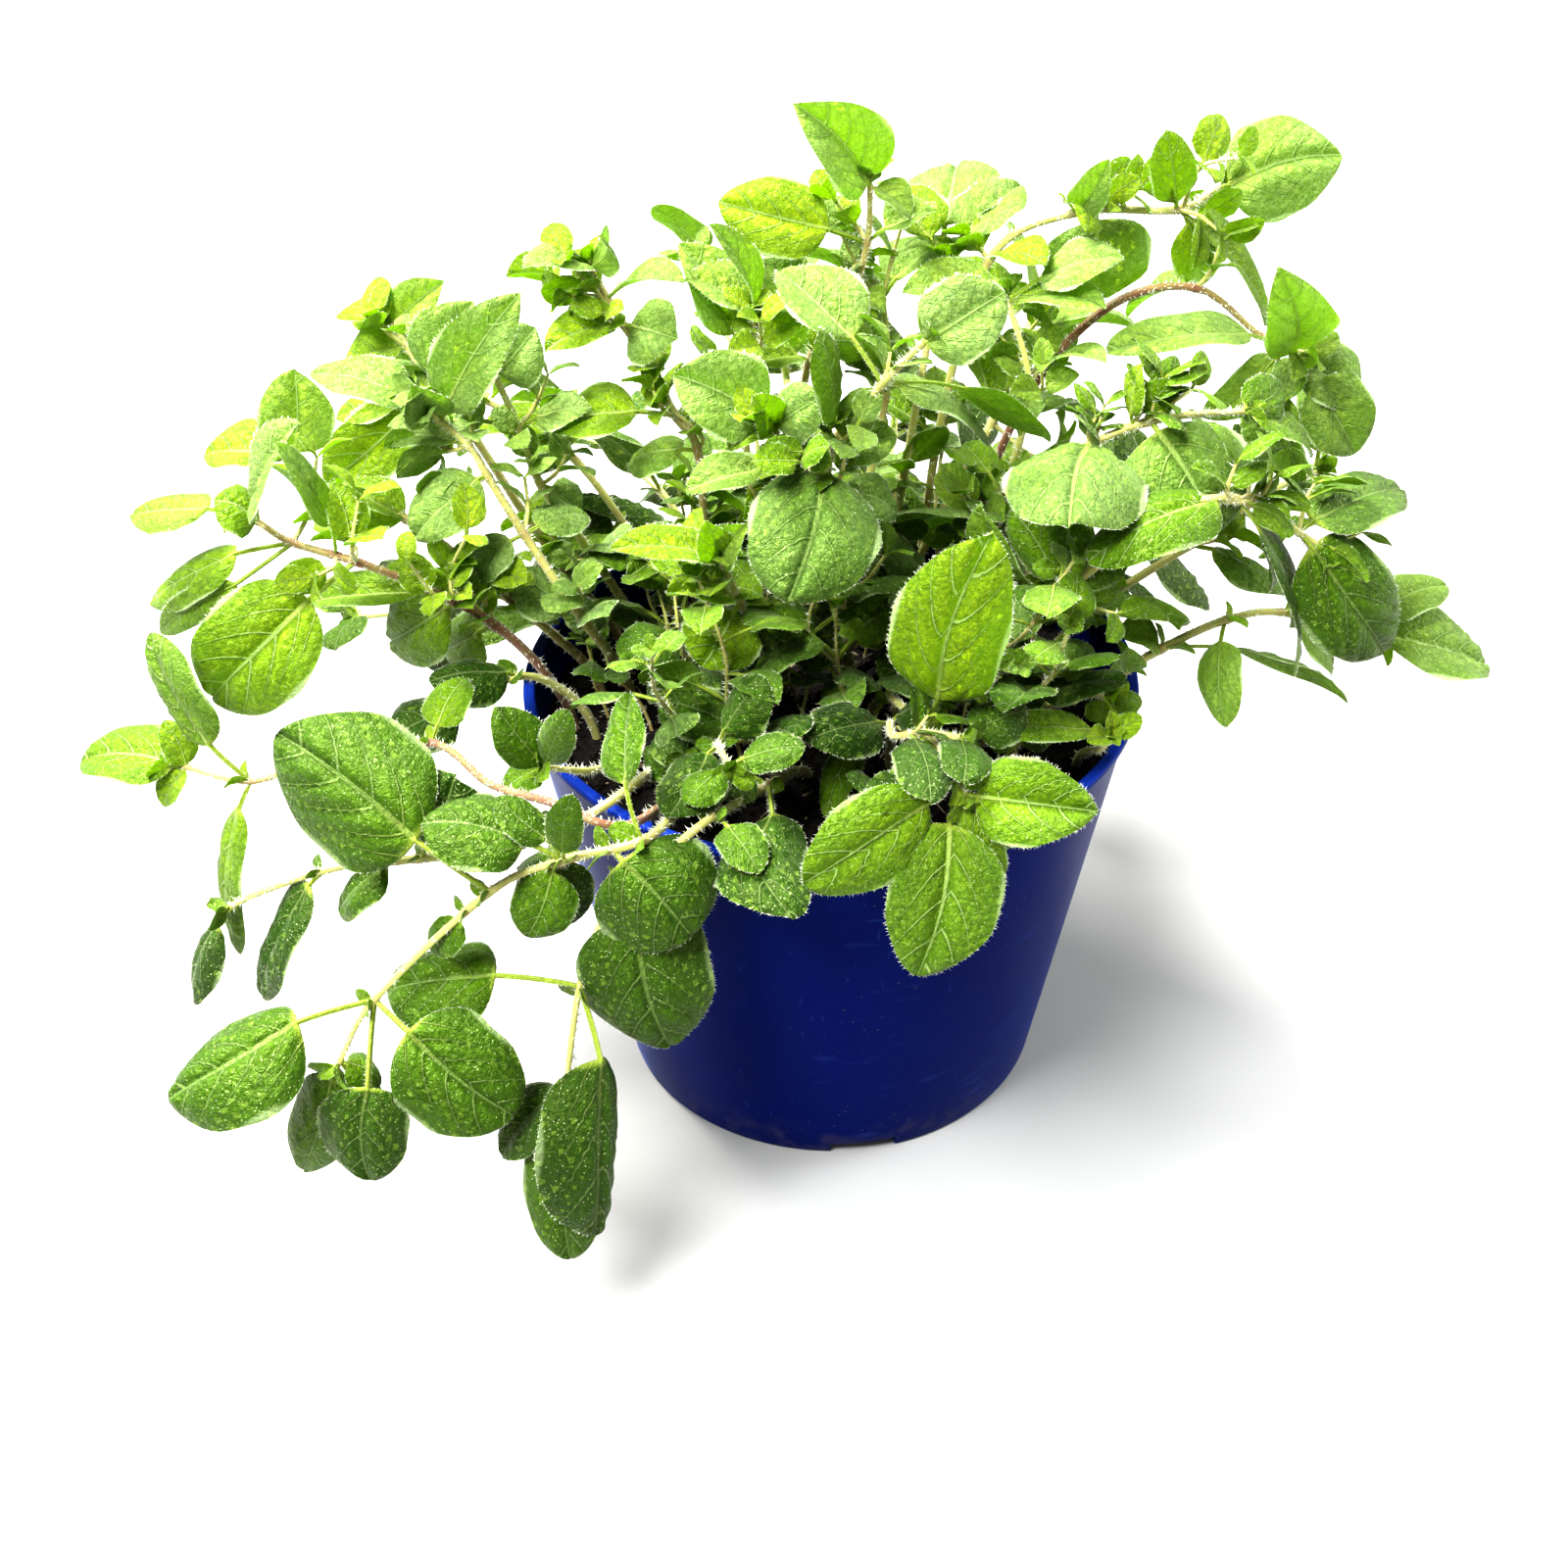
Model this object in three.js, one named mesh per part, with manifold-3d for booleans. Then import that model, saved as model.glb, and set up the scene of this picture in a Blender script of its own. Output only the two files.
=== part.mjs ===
// An oregano plant in a round nursery pot, in millimetres, +Z up.
// The origin is the centre of the pot's base, on the surface that the pot stands on.
// The pot, the soil and each leafy stem are meshes of their own. A stem and its leaves are one solid.
import * as THREE from "three";
import { mergeVertices } from "three/addons/utils/BufferGeometryUtils.js";
import Module from "manifold-3d";

const wasm = await Module();
wasm.setup();

// ---------------------------------------------------------------- driving dimensions
const POT = {
  rimRadius: 65, // outside of the rim
  baseRadius: 46.8, // outside of the foot
  height: 96.5,
  wall: 1.5,
  beadWidth: 0.9, // the rim's bead, beyond the wall
  beadHeight: 2.6,
  segments: 36,
};
const FOOT = { lift: 3, pad: 14, notchWidth: 14.5, notches: 4, notchTurn: 8.6 };
const DRAIN = { holes: 8, radius: 3.2, circle: 31, turn: -59, sides: 8 };
const SOIL = { top: 87, relief: 1.0, segments: 24, gap: 0.4, holeGap: 0.4, buried: 8 };
const LEAF = {
  thickness: 0.7,
  stalkWidth: 1.1,
  arch: 0.1, // how far the middle of a leaf rises, beside its length
  fold: 0.22, // how far a leaf's margins hang, beside half its width
  large: 17, // the widths from which a leaf is made with a stalk, or with a fold
  middling: 12.5,
  stalked: 0.3, // share of its length from which a stalk is made on any leaf
  shortStalk: 0.2,
  lift: 0.1,
};
const STEM = {
  root: 1.5, // radius round its corners, at its root and at its tip
  tip: 0.9,
  ringsPerSpan: 2,
  rise: 3, // how far above the soil the first place lies
  rootCircle: 54, // radius that no root lies beyond
  tipInset: 0.04,
  joined: 0.3, // leaves no further apart than this on a stem belong to one node, and may touch
};
const CLEAR = 0.35; // what is left free between two stems' leaves

// The station that the plant is set out from: how high it looks down from, how far it stands from its aim
// on the pot's axis, and the sighting grid, whose columns and rows give a line of sight.
const STATION = { elevation: 36.7, distance: 496, aim: 66.6, axisColumn: 848, axisRow: 800, grid: 2300 };

const COLOUR = {
  pot: 0x1f3c96,
  soil: 0x2b2019,
  lime: 0x9cc540,
  fresh: 0x74ad45,
  mature: 0x4a8a35,
  dark: 0x35682b,
  grey: 0x7fa371,
  pale: 0xa3c069,
};

// The ways that a leaf's upper side faces.
const TILT = THREE.MathUtils.degToRad(STATION.elevation);
const FACE = {
  viewer: [0, -Math.cos(TILT), Math.sin(TILT)],
  up: [0, -0.25, 1],
  left: [-0.75, -0.35, 0.6],
  right: [0.75, -0.35, 0.6],
  front: [0, -1, 0.25],
  back: [0, 0.6, 0.8],
};

// ---------------------------------------------------------------- where the stems and leaves grow
// A place is [column, row, height in mm]: the point at that height on that line of sight.
// A stem is [name, tone of its leaves, places that it passes through from the soil to its tip, its leaves].
// A leaf is [where on the stem, counted in places from the soil, place of its tip, width in mm,
// share of its length that is stalk, the way it faces].
const STEMS = [
  ["trail_left", "mature", [
    [745, 790, 88], [700, 820, 99], [655, 858, 103], [575, 878, 100], [500, 910, 95],
    [382, 1020, 76], [345, 1085, 66],
  ], [
    [4, [281, 748, 118], 27, 0.32, "viewer"],
    [2.4, [706, 957, 86], 24, 0.12, "viewer"],
    [5, [167, 1118, 64], 24, 0.33, "up"],
    [5, [524, 1140, 56], 22, 0.25, "viewer"],
    [5, [376, 1206, 44], 17, 0.45, "viewer"],
    [6, [308, 1197, 46], 13, 0.12, "viewer"],
    [6, [392, 1103, 62], 8, 0.15, "up"],
    [6, [378, 1158, 50], 9, 0.15, "right"],
    [4.2, [440, 972, 82], 7, 0.2, "viewer"],
    [2, [642, 706, 125], 13, 0.39, "left"],
    [3, [507, 813, 112], 8, 0.3, "up"],
    [3, [432, 835, 104], 18, 0.3, "up"],
    [3, [582, 813, 118], 7, 0.2, "viewer"],
    [3.1, [537, 958, 86], 12, 0.1, "viewer"],
    [2.8, [480, 892, 88], 11, 0.25, "up"],
  ]],
  ["trail_front", "mature", [
    [830, 785, 88], [765, 812, 99], [705, 850, 103], [622, 930, 88], [592, 1006, 73],
    [577, 1112, 53],
  ], [
    [2.7, [684, 1072, 60], 25, 0.15, "viewer"],
    [4, [394, 1006, 78], 21, 0.42, "up"],
    [4, [613, 1262, 30], 20, 0.28, "right"],
    [5, [509, 1178, 42], 13, 0.08, "left"],
    [5, [581, 1287, 22], 15, 0.12, "viewer"],
    [0.7, [806, 929, 98], 17, 0.38, "viewer"],
    [0.7, [657, 764, 99], 10, 0.5, "up"],
    [1.6, [775, 890, 101], 9, 0.3, "up"],
  ]],
  ["front_right", "fresh", [
    [880, 745, 88], [905, 712, 100], [945, 745, 108], [968, 785, 112], [985, 812, 110],
  ], [
    [2, [1012, 546, 158], 21, 0.25, "viewer"],
    [3.3, [821, 903, 97], 17, 0.22, "front"],
    [3.5, [936, 997, 80], 21, 0.2, "viewer"],
    [4, [1119, 828, 112], 16, 0.1, "viewer"],
    [4, [1030, 868, 103], 14, 0.08, "viewer"],
    [4, [1010, 921, 92], 9, 0.15, "viewer"],
    [2, [920, 842, 97], 9, 0.35, "viewer"],
    [2.5, [1014, 788, 101], 9, 0.1, "up"],
    [1.7, [731, 717, 118], 10, 0.25, "up"],
    [1, [842, 832, 94], 7, 0.35, "up"],
    [1, [898, 779, 98], 7, 0.2, "viewer"],
  ]],
  ["rim_right", "fresh", [[960, 762, 88], [1040, 730, 96], [1100, 710, 104], [1126, 711, 106]], [
    [3, [1166, 716, 105], 8, 0.1, "up"],
    [3, [1122, 739, 100], 7, 0.1, "viewer"],
  ]],
  ["edge_right", "fresh", [[1098, 775, 88], [1120, 765, 96], [1133, 751, 102]], [
    [2, [984, 745, 110], 8, 0.15, "up"],
  ]],
  ["right_low", "pale", [
    [1050, 735, 88], [1120, 700, 101], [1185, 662, 107], [1250, 633, 113], [1310, 625, 114],
    [1400, 650, 104],
  ], [
    [5, [1519, 678, 94], 20, 0.08, "up"],
    [4.8, [1476, 596, 110], 12, 0.2, "up"],
    [4, [1360, 682, 98], 13, 0.1, "up"],
    [2, [1376, 712, 96], 11, 0.35, "back"],
    [3, [1249, 742, 92], 11, 0.2, "left"],
    [2.3, [1280, 612, 118], 14, 0.2, "up"],
    [2, [1139, 645, 112], 10, 0.1, "up"],
    [1.4, [1150, 663, 116], 8, 0.3, "viewer"],
  ]],
  ["right_mid", "mature", [
    [990, 690, 88], [1090, 600, 130], [1200, 520, 150], [1275, 512, 150], [1325, 543, 142],
    [1340, 560, 138],
  ], [
    [4, [1432, 496, 142], 15, 0.12, "up"],
    [4, [1420, 669, 112], 19, 0.1, "viewer"],
    [5, [1330, 637, 112], 11, 0.05, "viewer"],
    [2.7, [1110, 570, 140], 16, 0.1, "up"],
    [2.8, [1323, 690, 106], 9, 0.15, "right"],
    [3, [1300, 600, 122], 8, 0.15, "right"],
    [1, [1150, 560, 138], 11, 0.2, "up"],
    [1, [1030, 520, 140], 12, 0.2, "left"],
  ]],
  ["arch_red", "pale", [
    [960, 660, 88], [1005, 500, 125], [1060, 385, 155], [1140, 308, 172], [1221, 294, 174],
    [1281, 338, 164], [1322, 362, 160],
  ], [
    [6, [1306, 276, 186], 14, 0.15, "front"],
    [5.5, [1129, 358, 168], 11, 0.2, "up"],
    [6, [1390, 402, 150], 13, 0.1, "viewer"],
    [6, [1386, 464, 138], 15, 0.25, "viewer"],
    [6, [1306, 410, 152], 7, 0.1, "viewer"],
    [5.7, [1226, 425, 150], 9, 0.15, "front"],
    [6, [1262, 437, 142], 9, 0.1, "right"],
    [6, [1330, 527, 122], 12, 0.3, "left"],
    [2, [1129, 369, 170], 9, 0.1, "up"],
    [2, [1010, 350, 165], 12, 0.2, "up"],
    [4, [1150, 322, 160], 8, 0.15, "up"],
  ]],
  ["top_right", "fresh", [
    [930, 645, 88], [960, 430, 142], [1010, 265, 176], [1097, 217, 186], [1200, 214, 188],
    [1245, 192, 190],
  ], [
    [5, [1370, 157, 196], 20, 0.08, "viewer"],
    [4, [1191, 134, 206], 9, 0.15, "viewer"],
    [5, [1229, 227, 184], 10, 0.1, "back"],
    [3, [1132, 163, 202], 7, 0.15, "viewer"],
    [3, [1086, 205, 190], 8, 0.1, "up"],
    [3.2, [1122, 306, 166], 21, 0.1, "viewer"],
    [4, [1293, 332, 162], 11, 0.12, "right"],
    [4.1, [1225, 292, 168], 12, 0.15, "viewer"],
    [2, [1066, 268, 182], 10, 0.2, "up"],
    [1, [900, 470, 140], 12, 0.2, "up"],
  ]],
  ["fan_right", "pale", [[985, 665, 88], [1020, 520, 126], [1050, 400, 154], [1028, 305, 172]], [
    [3, [1128, 314, 176], 10, 0.15, "up"],
    [3, [921, 296, 174], 13, 0.15, "up"],
    [3, [1145, 262, 184], 13, 0.35, "up"],
    [2, [1040, 445, 158], 7, 0.2, "viewer"],
  ]],
  ["top_mid", "fresh", [[895, 640, 88], [925, 470, 135], [950, 330, 164], [962, 268, 176]], [
    [3, [976, 166, 186], 21, 0.3, "back"],
    [3, [1041, 188, 186], 13, 0.3, "up"],
    [3, [914, 194, 186], 12, 0.3, "up"],
    [2.6, [997, 232, 180], 9, 0.2, "viewer"],
  ]],
  ["top_centre", "lime", [
    [800, 640, 88], [812, 480, 128], [826, 368, 156], [868, 303, 172], [885, 248, 184],
    [888, 188, 196],
  ], [
    [4, [733, 206, 192], 15, 0.28, "viewer"],
    [4, [955, 215, 190], 10, 0.3, "up"],
    [5, [812, 106, 214], 15, 0.06, "viewer"],
    [5, [930, 222, 188], 8, 0.1, "up"],
    [3, [902, 320, 170], 8, 0.2, "right"],
    [2, [760, 372, 160], 10, 0.2, "up"],
  ]],
  ["centre_high", "grey", [
    [850, 690, 88], [840, 560, 125], [850, 455, 158], [900, 392, 172], [942, 350, 180],
  ], [
    [4, [1024, 298, 190], 15, 0.05, "viewer"],
    [3, [795, 275, 188], 16, 0.33, "up"],
    [3, [1072, 448, 152], 10, 0.45, "back"],
    [3, [1011, 452, 150], 12, 0.1, "up"],
    [2, [915, 445, 160], 9, 0.15, "viewer"],
  ]],
  ["centre_left", "fresh", [[800, 700, 88], [802, 580, 125], [795, 480, 152], [792, 432, 162]], [
    [3, [688, 382, 172], 16, 0.15, "viewer"],
    [3, [838, 404, 172], 11, 0.05, "viewer"],
    [3, [744, 456, 160], 11, 0.2, "up"],
    [3, [770, 405, 172], 8, 0.05, "viewer"],
    [2, [700, 500, 150], 10, 0.2, "up"],
  ]],
  ["centre_mid", "mature", [[868, 712, 88], [858, 600, 124], [846, 500, 150], [846, 440, 163]], [
    [2.5, [805, 613, 140], 24, 0.12, "viewer"],
    [3, [837, 337, 184], 11, 0.15, "right"],
    [3, [800, 452, 164], 9, 0.15, "up"],
    [2, [918, 520, 146], 11, 0.2, "up"],
  ]],
  ["centre_front", "lime", [[790, 718, 88], [785, 680, 99], [755, 615, 124], [735, 568, 138]], [
    [3, [622, 560, 144], 11, 0.05, "up"],
    [3, [721, 532, 150], 8, 0.05, "viewer"],
    [3, [762, 535, 150], 8, 0.05, "viewer"],
    [2, [716, 681, 114], 16, 0.15, "viewer"],
    [2, [680, 606, 130], 14, 0.2, "up"],
    [1, [728, 674, 104], 7, 0.3, "up"],
  ]],
  ["shoot_left", "fresh", [
    [730, 680, 88], [720, 560, 118], [712, 460, 145], [690, 425, 152], [655, 362, 163],
    [620, 305, 174], [603, 272, 180],
  ], [
    [6, [536, 272, 184], 11, 0.05, "up"],
    [6, [613, 240, 194], 8, 0.05, "right"],
    [5, [696, 285, 184], 10, 0.3, "up"],
    [3, [555, 437, 150], 16, 0.3, "up"],
    [3, [745, 395, 160], 9, 0.2, "up"],
    [4.5, [556, 357, 168], 10, 0.15, "up"],
    [4.5, [690, 345, 170], 14, 0.2, "viewer"],
    [2, [640, 470, 140], 12, 0.2, "up"],
    [1, [640, 590, 122], 14, 0.15, "viewer"],
  ]],
  ["shoot_back", "lime", [[780, 650, 88], [770, 520, 125], [756, 400, 155], [770, 318, 174]], [
    [3, [725, 229, 194], 9, 0.05, "right"],
    [3, [698, 285, 180], 13, 0.1, "up"],
    [3, [846, 328, 174], 10, 0.1, "up"],
    [2.6, [822, 262, 182], 14, 0.15, "up"],
    [2.4, [694, 248, 184], 15, 0.2, "up"],
  ]],
  ["fan_left", "grey", [
    [650, 710, 88], [590, 625, 118], [535, 545, 135], [497, 485, 147], [478, 455, 152],
    [428, 412, 159],
  ], [
    [5, [316, 380, 164], 13, 0.08, "up"],
    [4.6, [528, 301, 184], 13, 0.15, "viewer"],
    [4.7, [421, 393, 168], 10, 0.05, "viewer"],
    [5, [483, 308, 178], 13, 0.3, "viewer"],
    [3, [421, 548, 138], 15, 0.1, "up"],
    [2, [600, 525, 134], 10, 0.2, "up"],
    [4, [395, 455, 148], 9, 0.15, "up"],
    [2, [480, 590, 122], 10, 0.2, "up"],
  ]],
  ["left_back", "grey", [
    [665, 665, 88], [600, 560, 120], [552, 495, 138], [530, 438, 150], [504, 381, 160],
  ], [
    [4, [545, 335, 170], 14, 0.1, "viewer"],
    [3, [601, 414, 156], 10, 0.3, "up"],
    [3, [400, 436, 148], 12, 0.3, "up"],
    [2, [595, 520, 134], 10, 0.2, "up"],
    [4, [440, 350, 164], 13, 0.1, "up"],
  ]],
  ["left_high", "lime", [
    [640, 660, 88], [560, 560, 115], [480, 440, 138], [430, 375, 150], [400, 330, 158],
  ], [
    [4, [453, 287, 168], 10, 0.05, "viewer"],
    [4, [342, 322, 158], 9, 0.05, "up"],
    [3.4, [350, 374, 150], 13, 0.1, "up"],
    [2.6, [331, 494, 126], 15, 0.15, "viewer"],
    [2.6, [342, 425, 138], 13, 0.2, "up"],
    [2, [560, 440, 140], 10, 0.2, "up"],
  ]],
  ["left_far", "lime", [
    [618, 700, 88], [520, 610, 118], [415, 530, 136], [340, 503, 138], [300, 468, 142],
  ], [
    [4, [300, 377, 160], 15, 0.1, "viewer"],
    [4, [208, 462, 142], 14, 0.25, "up"],
    [2, [342, 500, 142], 9, 0.05, "up"],
    [2, [319, 537, 134], 11, 0.05, "up"],
    [1, [470, 560, 130], 12, 0.2, "up"],
  ]],
  ["left_brown", "fresh", [
    [588, 738, 88], [540, 668, 110], [490, 628, 122], [430, 598, 132], [363, 573, 138],
    [299, 554, 141], [262, 532, 144],
  ], [
    [4, [213, 712, 112], 22, 0.27, "viewer"],
    [5, [151, 613, 122], 11, 0.3, "left"],
    [4.3, [283, 452, 164], 8, 0.3, "right"],
    [6, [301, 432, 168], 14, 0.1, "left"],
    [6, [221, 508, 150], 13, 0.05, "up"],
    [6, [133, 524, 140], 12, 0.35, "up"],
    [5, [162, 646, 116], 7, 0.35, "front"],
    [2.4, [396, 655, 110], 16, 0.1, "viewer"],
    [2.5, [318, 612, 122], 10, 0.2, "up"],
    [1.7, [450, 663, 106], 12, 0.2, "viewer"],
  ]],
  ["left_low", "dark", [[612, 748, 88], [575, 705, 100], [530, 690, 107], [470, 722, 104]], [
    [3, [392, 757, 100], 14, 0.1, "up"],
    [2, [440, 690, 112], 12, 0.15, "up"],
  ]],
  ["rim_left", "mature", [[650, 766, 88], [610, 785, 100], [555, 783, 107]], [
    [2, [507, 723, 122], 10, 0.1, "viewer"],
    [2, [580, 726, 126], 7, 0.15, "viewer"],
    [2, [512, 806, 104], 8, 0.1, "up"],
  ]],
  ["trail_brown", "fresh", [
    [715, 795, 88], [640, 842, 102], [560, 818, 106], [500, 800, 108], [440, 758, 113],
    [335, 772, 108], [256, 797, 101], [188, 782, 101],
  ], [
    [6, [150, 648, 128], 15, 0.3, "left"],
    [6, [242, 974, 70], 13, 0.15, "left"],
    [7, [81, 775, 96], 16, 0.08, "up"],
    [7, [168, 735, 110], 7, 0.05, "up"],
    [7, [165, 822, 94], 8, 0.05, "up"],
    [4, [475, 690, 118], 9, 0.2, "up"],
  ]],
  ["trail_low", "dark", [
    [668, 790, 88], [652, 797, 100], [600, 832, 99], [520, 866, 96], [430, 876, 94], [345, 885, 89],
    [275, 907, 83], [235, 925, 80],
  ], [
    [6, [163, 878, 80], 13, 0.25, "up"],
    [5.2, [265, 1016, 62], 15, 0.12, "left"],
    [7, [196, 1023, 60], 12, 0.2, "left"],
    [4.3, [342, 930, 80], 12, 0.1, "up"],
    [4, [462, 796, 112], 21, 0.2, "viewer"],
    [2.4, [578, 945, 80], 12, 0.3, "up"],
  ]],
  ["right_fan", "mature", [
    [1030, 700, 88], [1048, 570, 120], [1080, 480, 146], [1138, 442, 157], [1200, 425, 161],
    [1268, 420, 158],
  ], [
    [2.6, [1092, 531, 156], 26, 0.1, "up"],
    [3.6, [1241, 543, 146], 25, 0.1, "viewer"],
    [3.3, [1165, 372, 172], 8, 0.2, "left"],
    [3.5, [1196, 388, 170], 7, 0.2, "viewer"],
    [2.6, [1101, 424, 162], 7, 0.1, "up"],
    [5, [1310, 392, 160], 10, 0.1, "right"],
    [5, [1340, 462, 146], 11, 0.1, "up"],
  ]],
  ["right_inner", "fresh", [[1015, 722, 88], [1050, 655, 104], [1060, 597, 120]], [
    [2, [1108, 528, 138], 14, 0.1, "viewer"],
    [2, [1122, 602, 122], 12, 0.1, "up"],
    [1, [1022, 712, 100], 15, 0.1, "viewer"],
    [2, [1000, 515, 140], 13, 0.15, "left"],
  ]],
  ["centre_dark", "dark", [[955, 705, 88], [966, 645, 104], [958, 602, 118]], [
    [2, [846, 614, 122], 14, 0.02, "up"],
    [2, [884, 548, 132], 12, 0.1, "up"],
    [1, [900, 690, 104], 12, 0.2, "viewer"],
  ]],
  ["centre_small", "fresh", [[915, 738, 88], [912, 692, 98], [912, 656, 106]], [
    [2, [840, 650, 108], 10, 0.1, "up"],
    [2, [962, 707, 102], 9, 0.1, "viewer"],
  ]],
];


// ---------------------------------------------------------------- the stems that fill the back and the middle
// Each is [name, tone, bearing that it leans to in degrees (90 is +Y), how far from the axis it is rooted,
// how far it reaches from its root, height of its tip, width of its widest leaf, count of leaf pairs].
const FILLERS = [
  ["back_a", "fresh", 58, 24, 62, 146, 19, 4],
  ["back_b", "mature", 84, 38, 68, 122, 20, 4],
  ["back_c", "grey", 110, 16, 62, 156, 19, 4],
  ["back_d", "mature", 128, 42, 62, 110, 20, 4],
  ["back_e", "fresh", 150, 36, 66, 136, 18, 4],
  ["back_f", "mature", 38, 44, 68, 104, 19, 4],
  ["back_g", "dark", 102, 50, 50, 78, 17, 3],
  ["back_h", "fresh", 14, 46, 60, 130, 19, 4],
  ["back_i", "mature", 168, 46, 60, 96, 17, 3],
  ["back_j", "dark", 70, 50, 48, 74, 17, 3],
  ["middle_a", "grey", 78, 6, 30, 170, 17, 4],
  ["middle_b", "dark", 300, 24, 26, 110, 14, 3],
  ["middle_c", "dark", 250, 30, 26, 110, 13, 3],
];

// The pair of small leaves low on each stem that stands up.
const UNDERGROWTH = { at: 0.9, width: 10, turn: 20, standsAbove: 111 };

// ---------------------------------------------------------------- vectors and solids
const vector = (values) => new THREE.Vector3(...values);
const degrees = THREE.MathUtils.degToRad;

const EYE = vector([
  0,
  -STATION.distance * Math.cos(TILT),
  STATION.aim + STATION.distance * Math.sin(TILT),
]);

// The point at a height on the line of sight through a column and row of the grid.
function sight([column, row, height]) {
  const across = (column - STATION.axisColumn) / STATION.grid;
  const above = (STATION.axisRow - row) / STATION.grid;
  const ray = new THREE.Vector3(
    across,
    Math.cos(TILT) + above * Math.sin(TILT),
    -Math.sin(TILT) + above * Math.cos(TILT),
  );
  return EYE.clone().addScaledVector(ray, (height - EYE.z) / ray.z);
}

// The Park-Miller generator, so that every run grows the same plant.
function generator(seed) {
  let state = seed;
  return () => {
    state = (state * 16807) % 2147483647;
    return state / 2147483647;
  };
}

function geometryOf(points, triangles) {
  const geometry = new THREE.BufferGeometry();
  const positions = points.flatMap((point) => point.toArray());
  geometry.setAttribute("position", new THREE.Float32BufferAttribute(positions, 3));
  geometry.setIndex(triangles.flat());
  return geometry;
}

function toSolid(geometry) {
  const bare = geometry.clone();
  bare.deleteAttribute("normal");
  bare.deleteAttribute("uv");
  const merged = mergeVertices(bare, 1e-4);
  const index = Array.from(merged.index.array);
  const triangles = [];
  for (let i = 0; i < index.length; i += 3) {
    const [a, b, c] = index.slice(i, i + 3);
    if (a !== b && b !== c && c !== a) triangles.push(a, b, c);
  }
  return new wasm.Manifold(new wasm.Mesh({
    numProp: 3,
    vertProperties: new Float32Array(merged.attributes.position.array),
    triVerts: new Uint32Array(triangles),
  }));
}

function toMesh(name, solid, color, roughness) {
  const { vertProperties, triVerts, numProp } = solid.getMesh();
  const points = [];
  for (let i = 0; i < vertProperties.length; i += numProp) points.push(...vertProperties.slice(i, i + 3));
  const geometry = new THREE.BufferGeometry();
  geometry.setAttribute("position", new THREE.Float32BufferAttribute(points, 3));
  geometry.setIndex(Array.from(triVerts));
  geometry.computeVertexNormals();
  const material = new THREE.MeshStandardMaterial({ color, roughness, flatShading: true });
  const mesh = new THREE.Mesh(geometry, material);
  mesh.name = name;
  return mesh;
}

// ---------------------------------------------------------------- pot
const FLOOR_TOP = FOOT.lift + POT.wall;

function wallRadius(z) {
  const underBead = POT.rimRadius - POT.beadWidth;
  return POT.baseRadius + (underBead - POT.baseRadius) * (z / POT.height);
}

function potSolid() {
  const { height, wall, rimRadius, beadHeight } = POT;
  const profile = [
    [0, 0],
    [POT.baseRadius, 0],
    [wallRadius(height - beadHeight), height - beadHeight],
    [rimRadius, height - beadHeight + 0.8],
    [rimRadius, height],
    [wallRadius(height) - wall, height],
    [wallRadius(FLOOR_TOP) - wall, FLOOR_TOP],
    [0, FLOOR_TOP],
  ].map(([r, z]) => new THREE.Vector2(r, z));
  const lathe = new THREE.LatheGeometry(profile, POT.segments);
  lathe.rotateX(Math.PI / 2); // the lathe turns about +Y
  let pot = toSolid(lathe);
  for (let i = 0; i < FOOT.notches; i++) {
    pot = pot.subtract(channelSolid(degrees(-90 + FOOT.notchTurn + (i * 360) / FOOT.notches)));
  }
  for (let i = 0; i < DRAIN.holes; i++) {
    const hole = new THREE.CylinderGeometry(DRAIN.radius, DRAIN.radius, 20, DRAIN.sides);
    hole.rotateX(Math.PI / 2);
    const angle = degrees(DRAIN.turn + (i * 360) / DRAIN.holes);
    hole.translate(DRAIN.circle * Math.cos(angle), DRAIN.circle * Math.sin(angle), 0);
    pot = pot.subtract(toSolid(hole));
  }
  return pot;
}

// A drainage channel under the base. It runs out through the foot of the wall, where it shows as a notch.
function channelSolid(angle) {
  const inner = FOOT.pad;
  const outer = POT.baseRadius + 5;
  const channel = new THREE.BoxGeometry(outer - inner, FOOT.notchWidth, 2 * FOOT.lift);
  channel.translate((outer + inner) / 2, 0, 0);
  channel.rotateZ(angle);
  return toSolid(channel);
}

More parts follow.
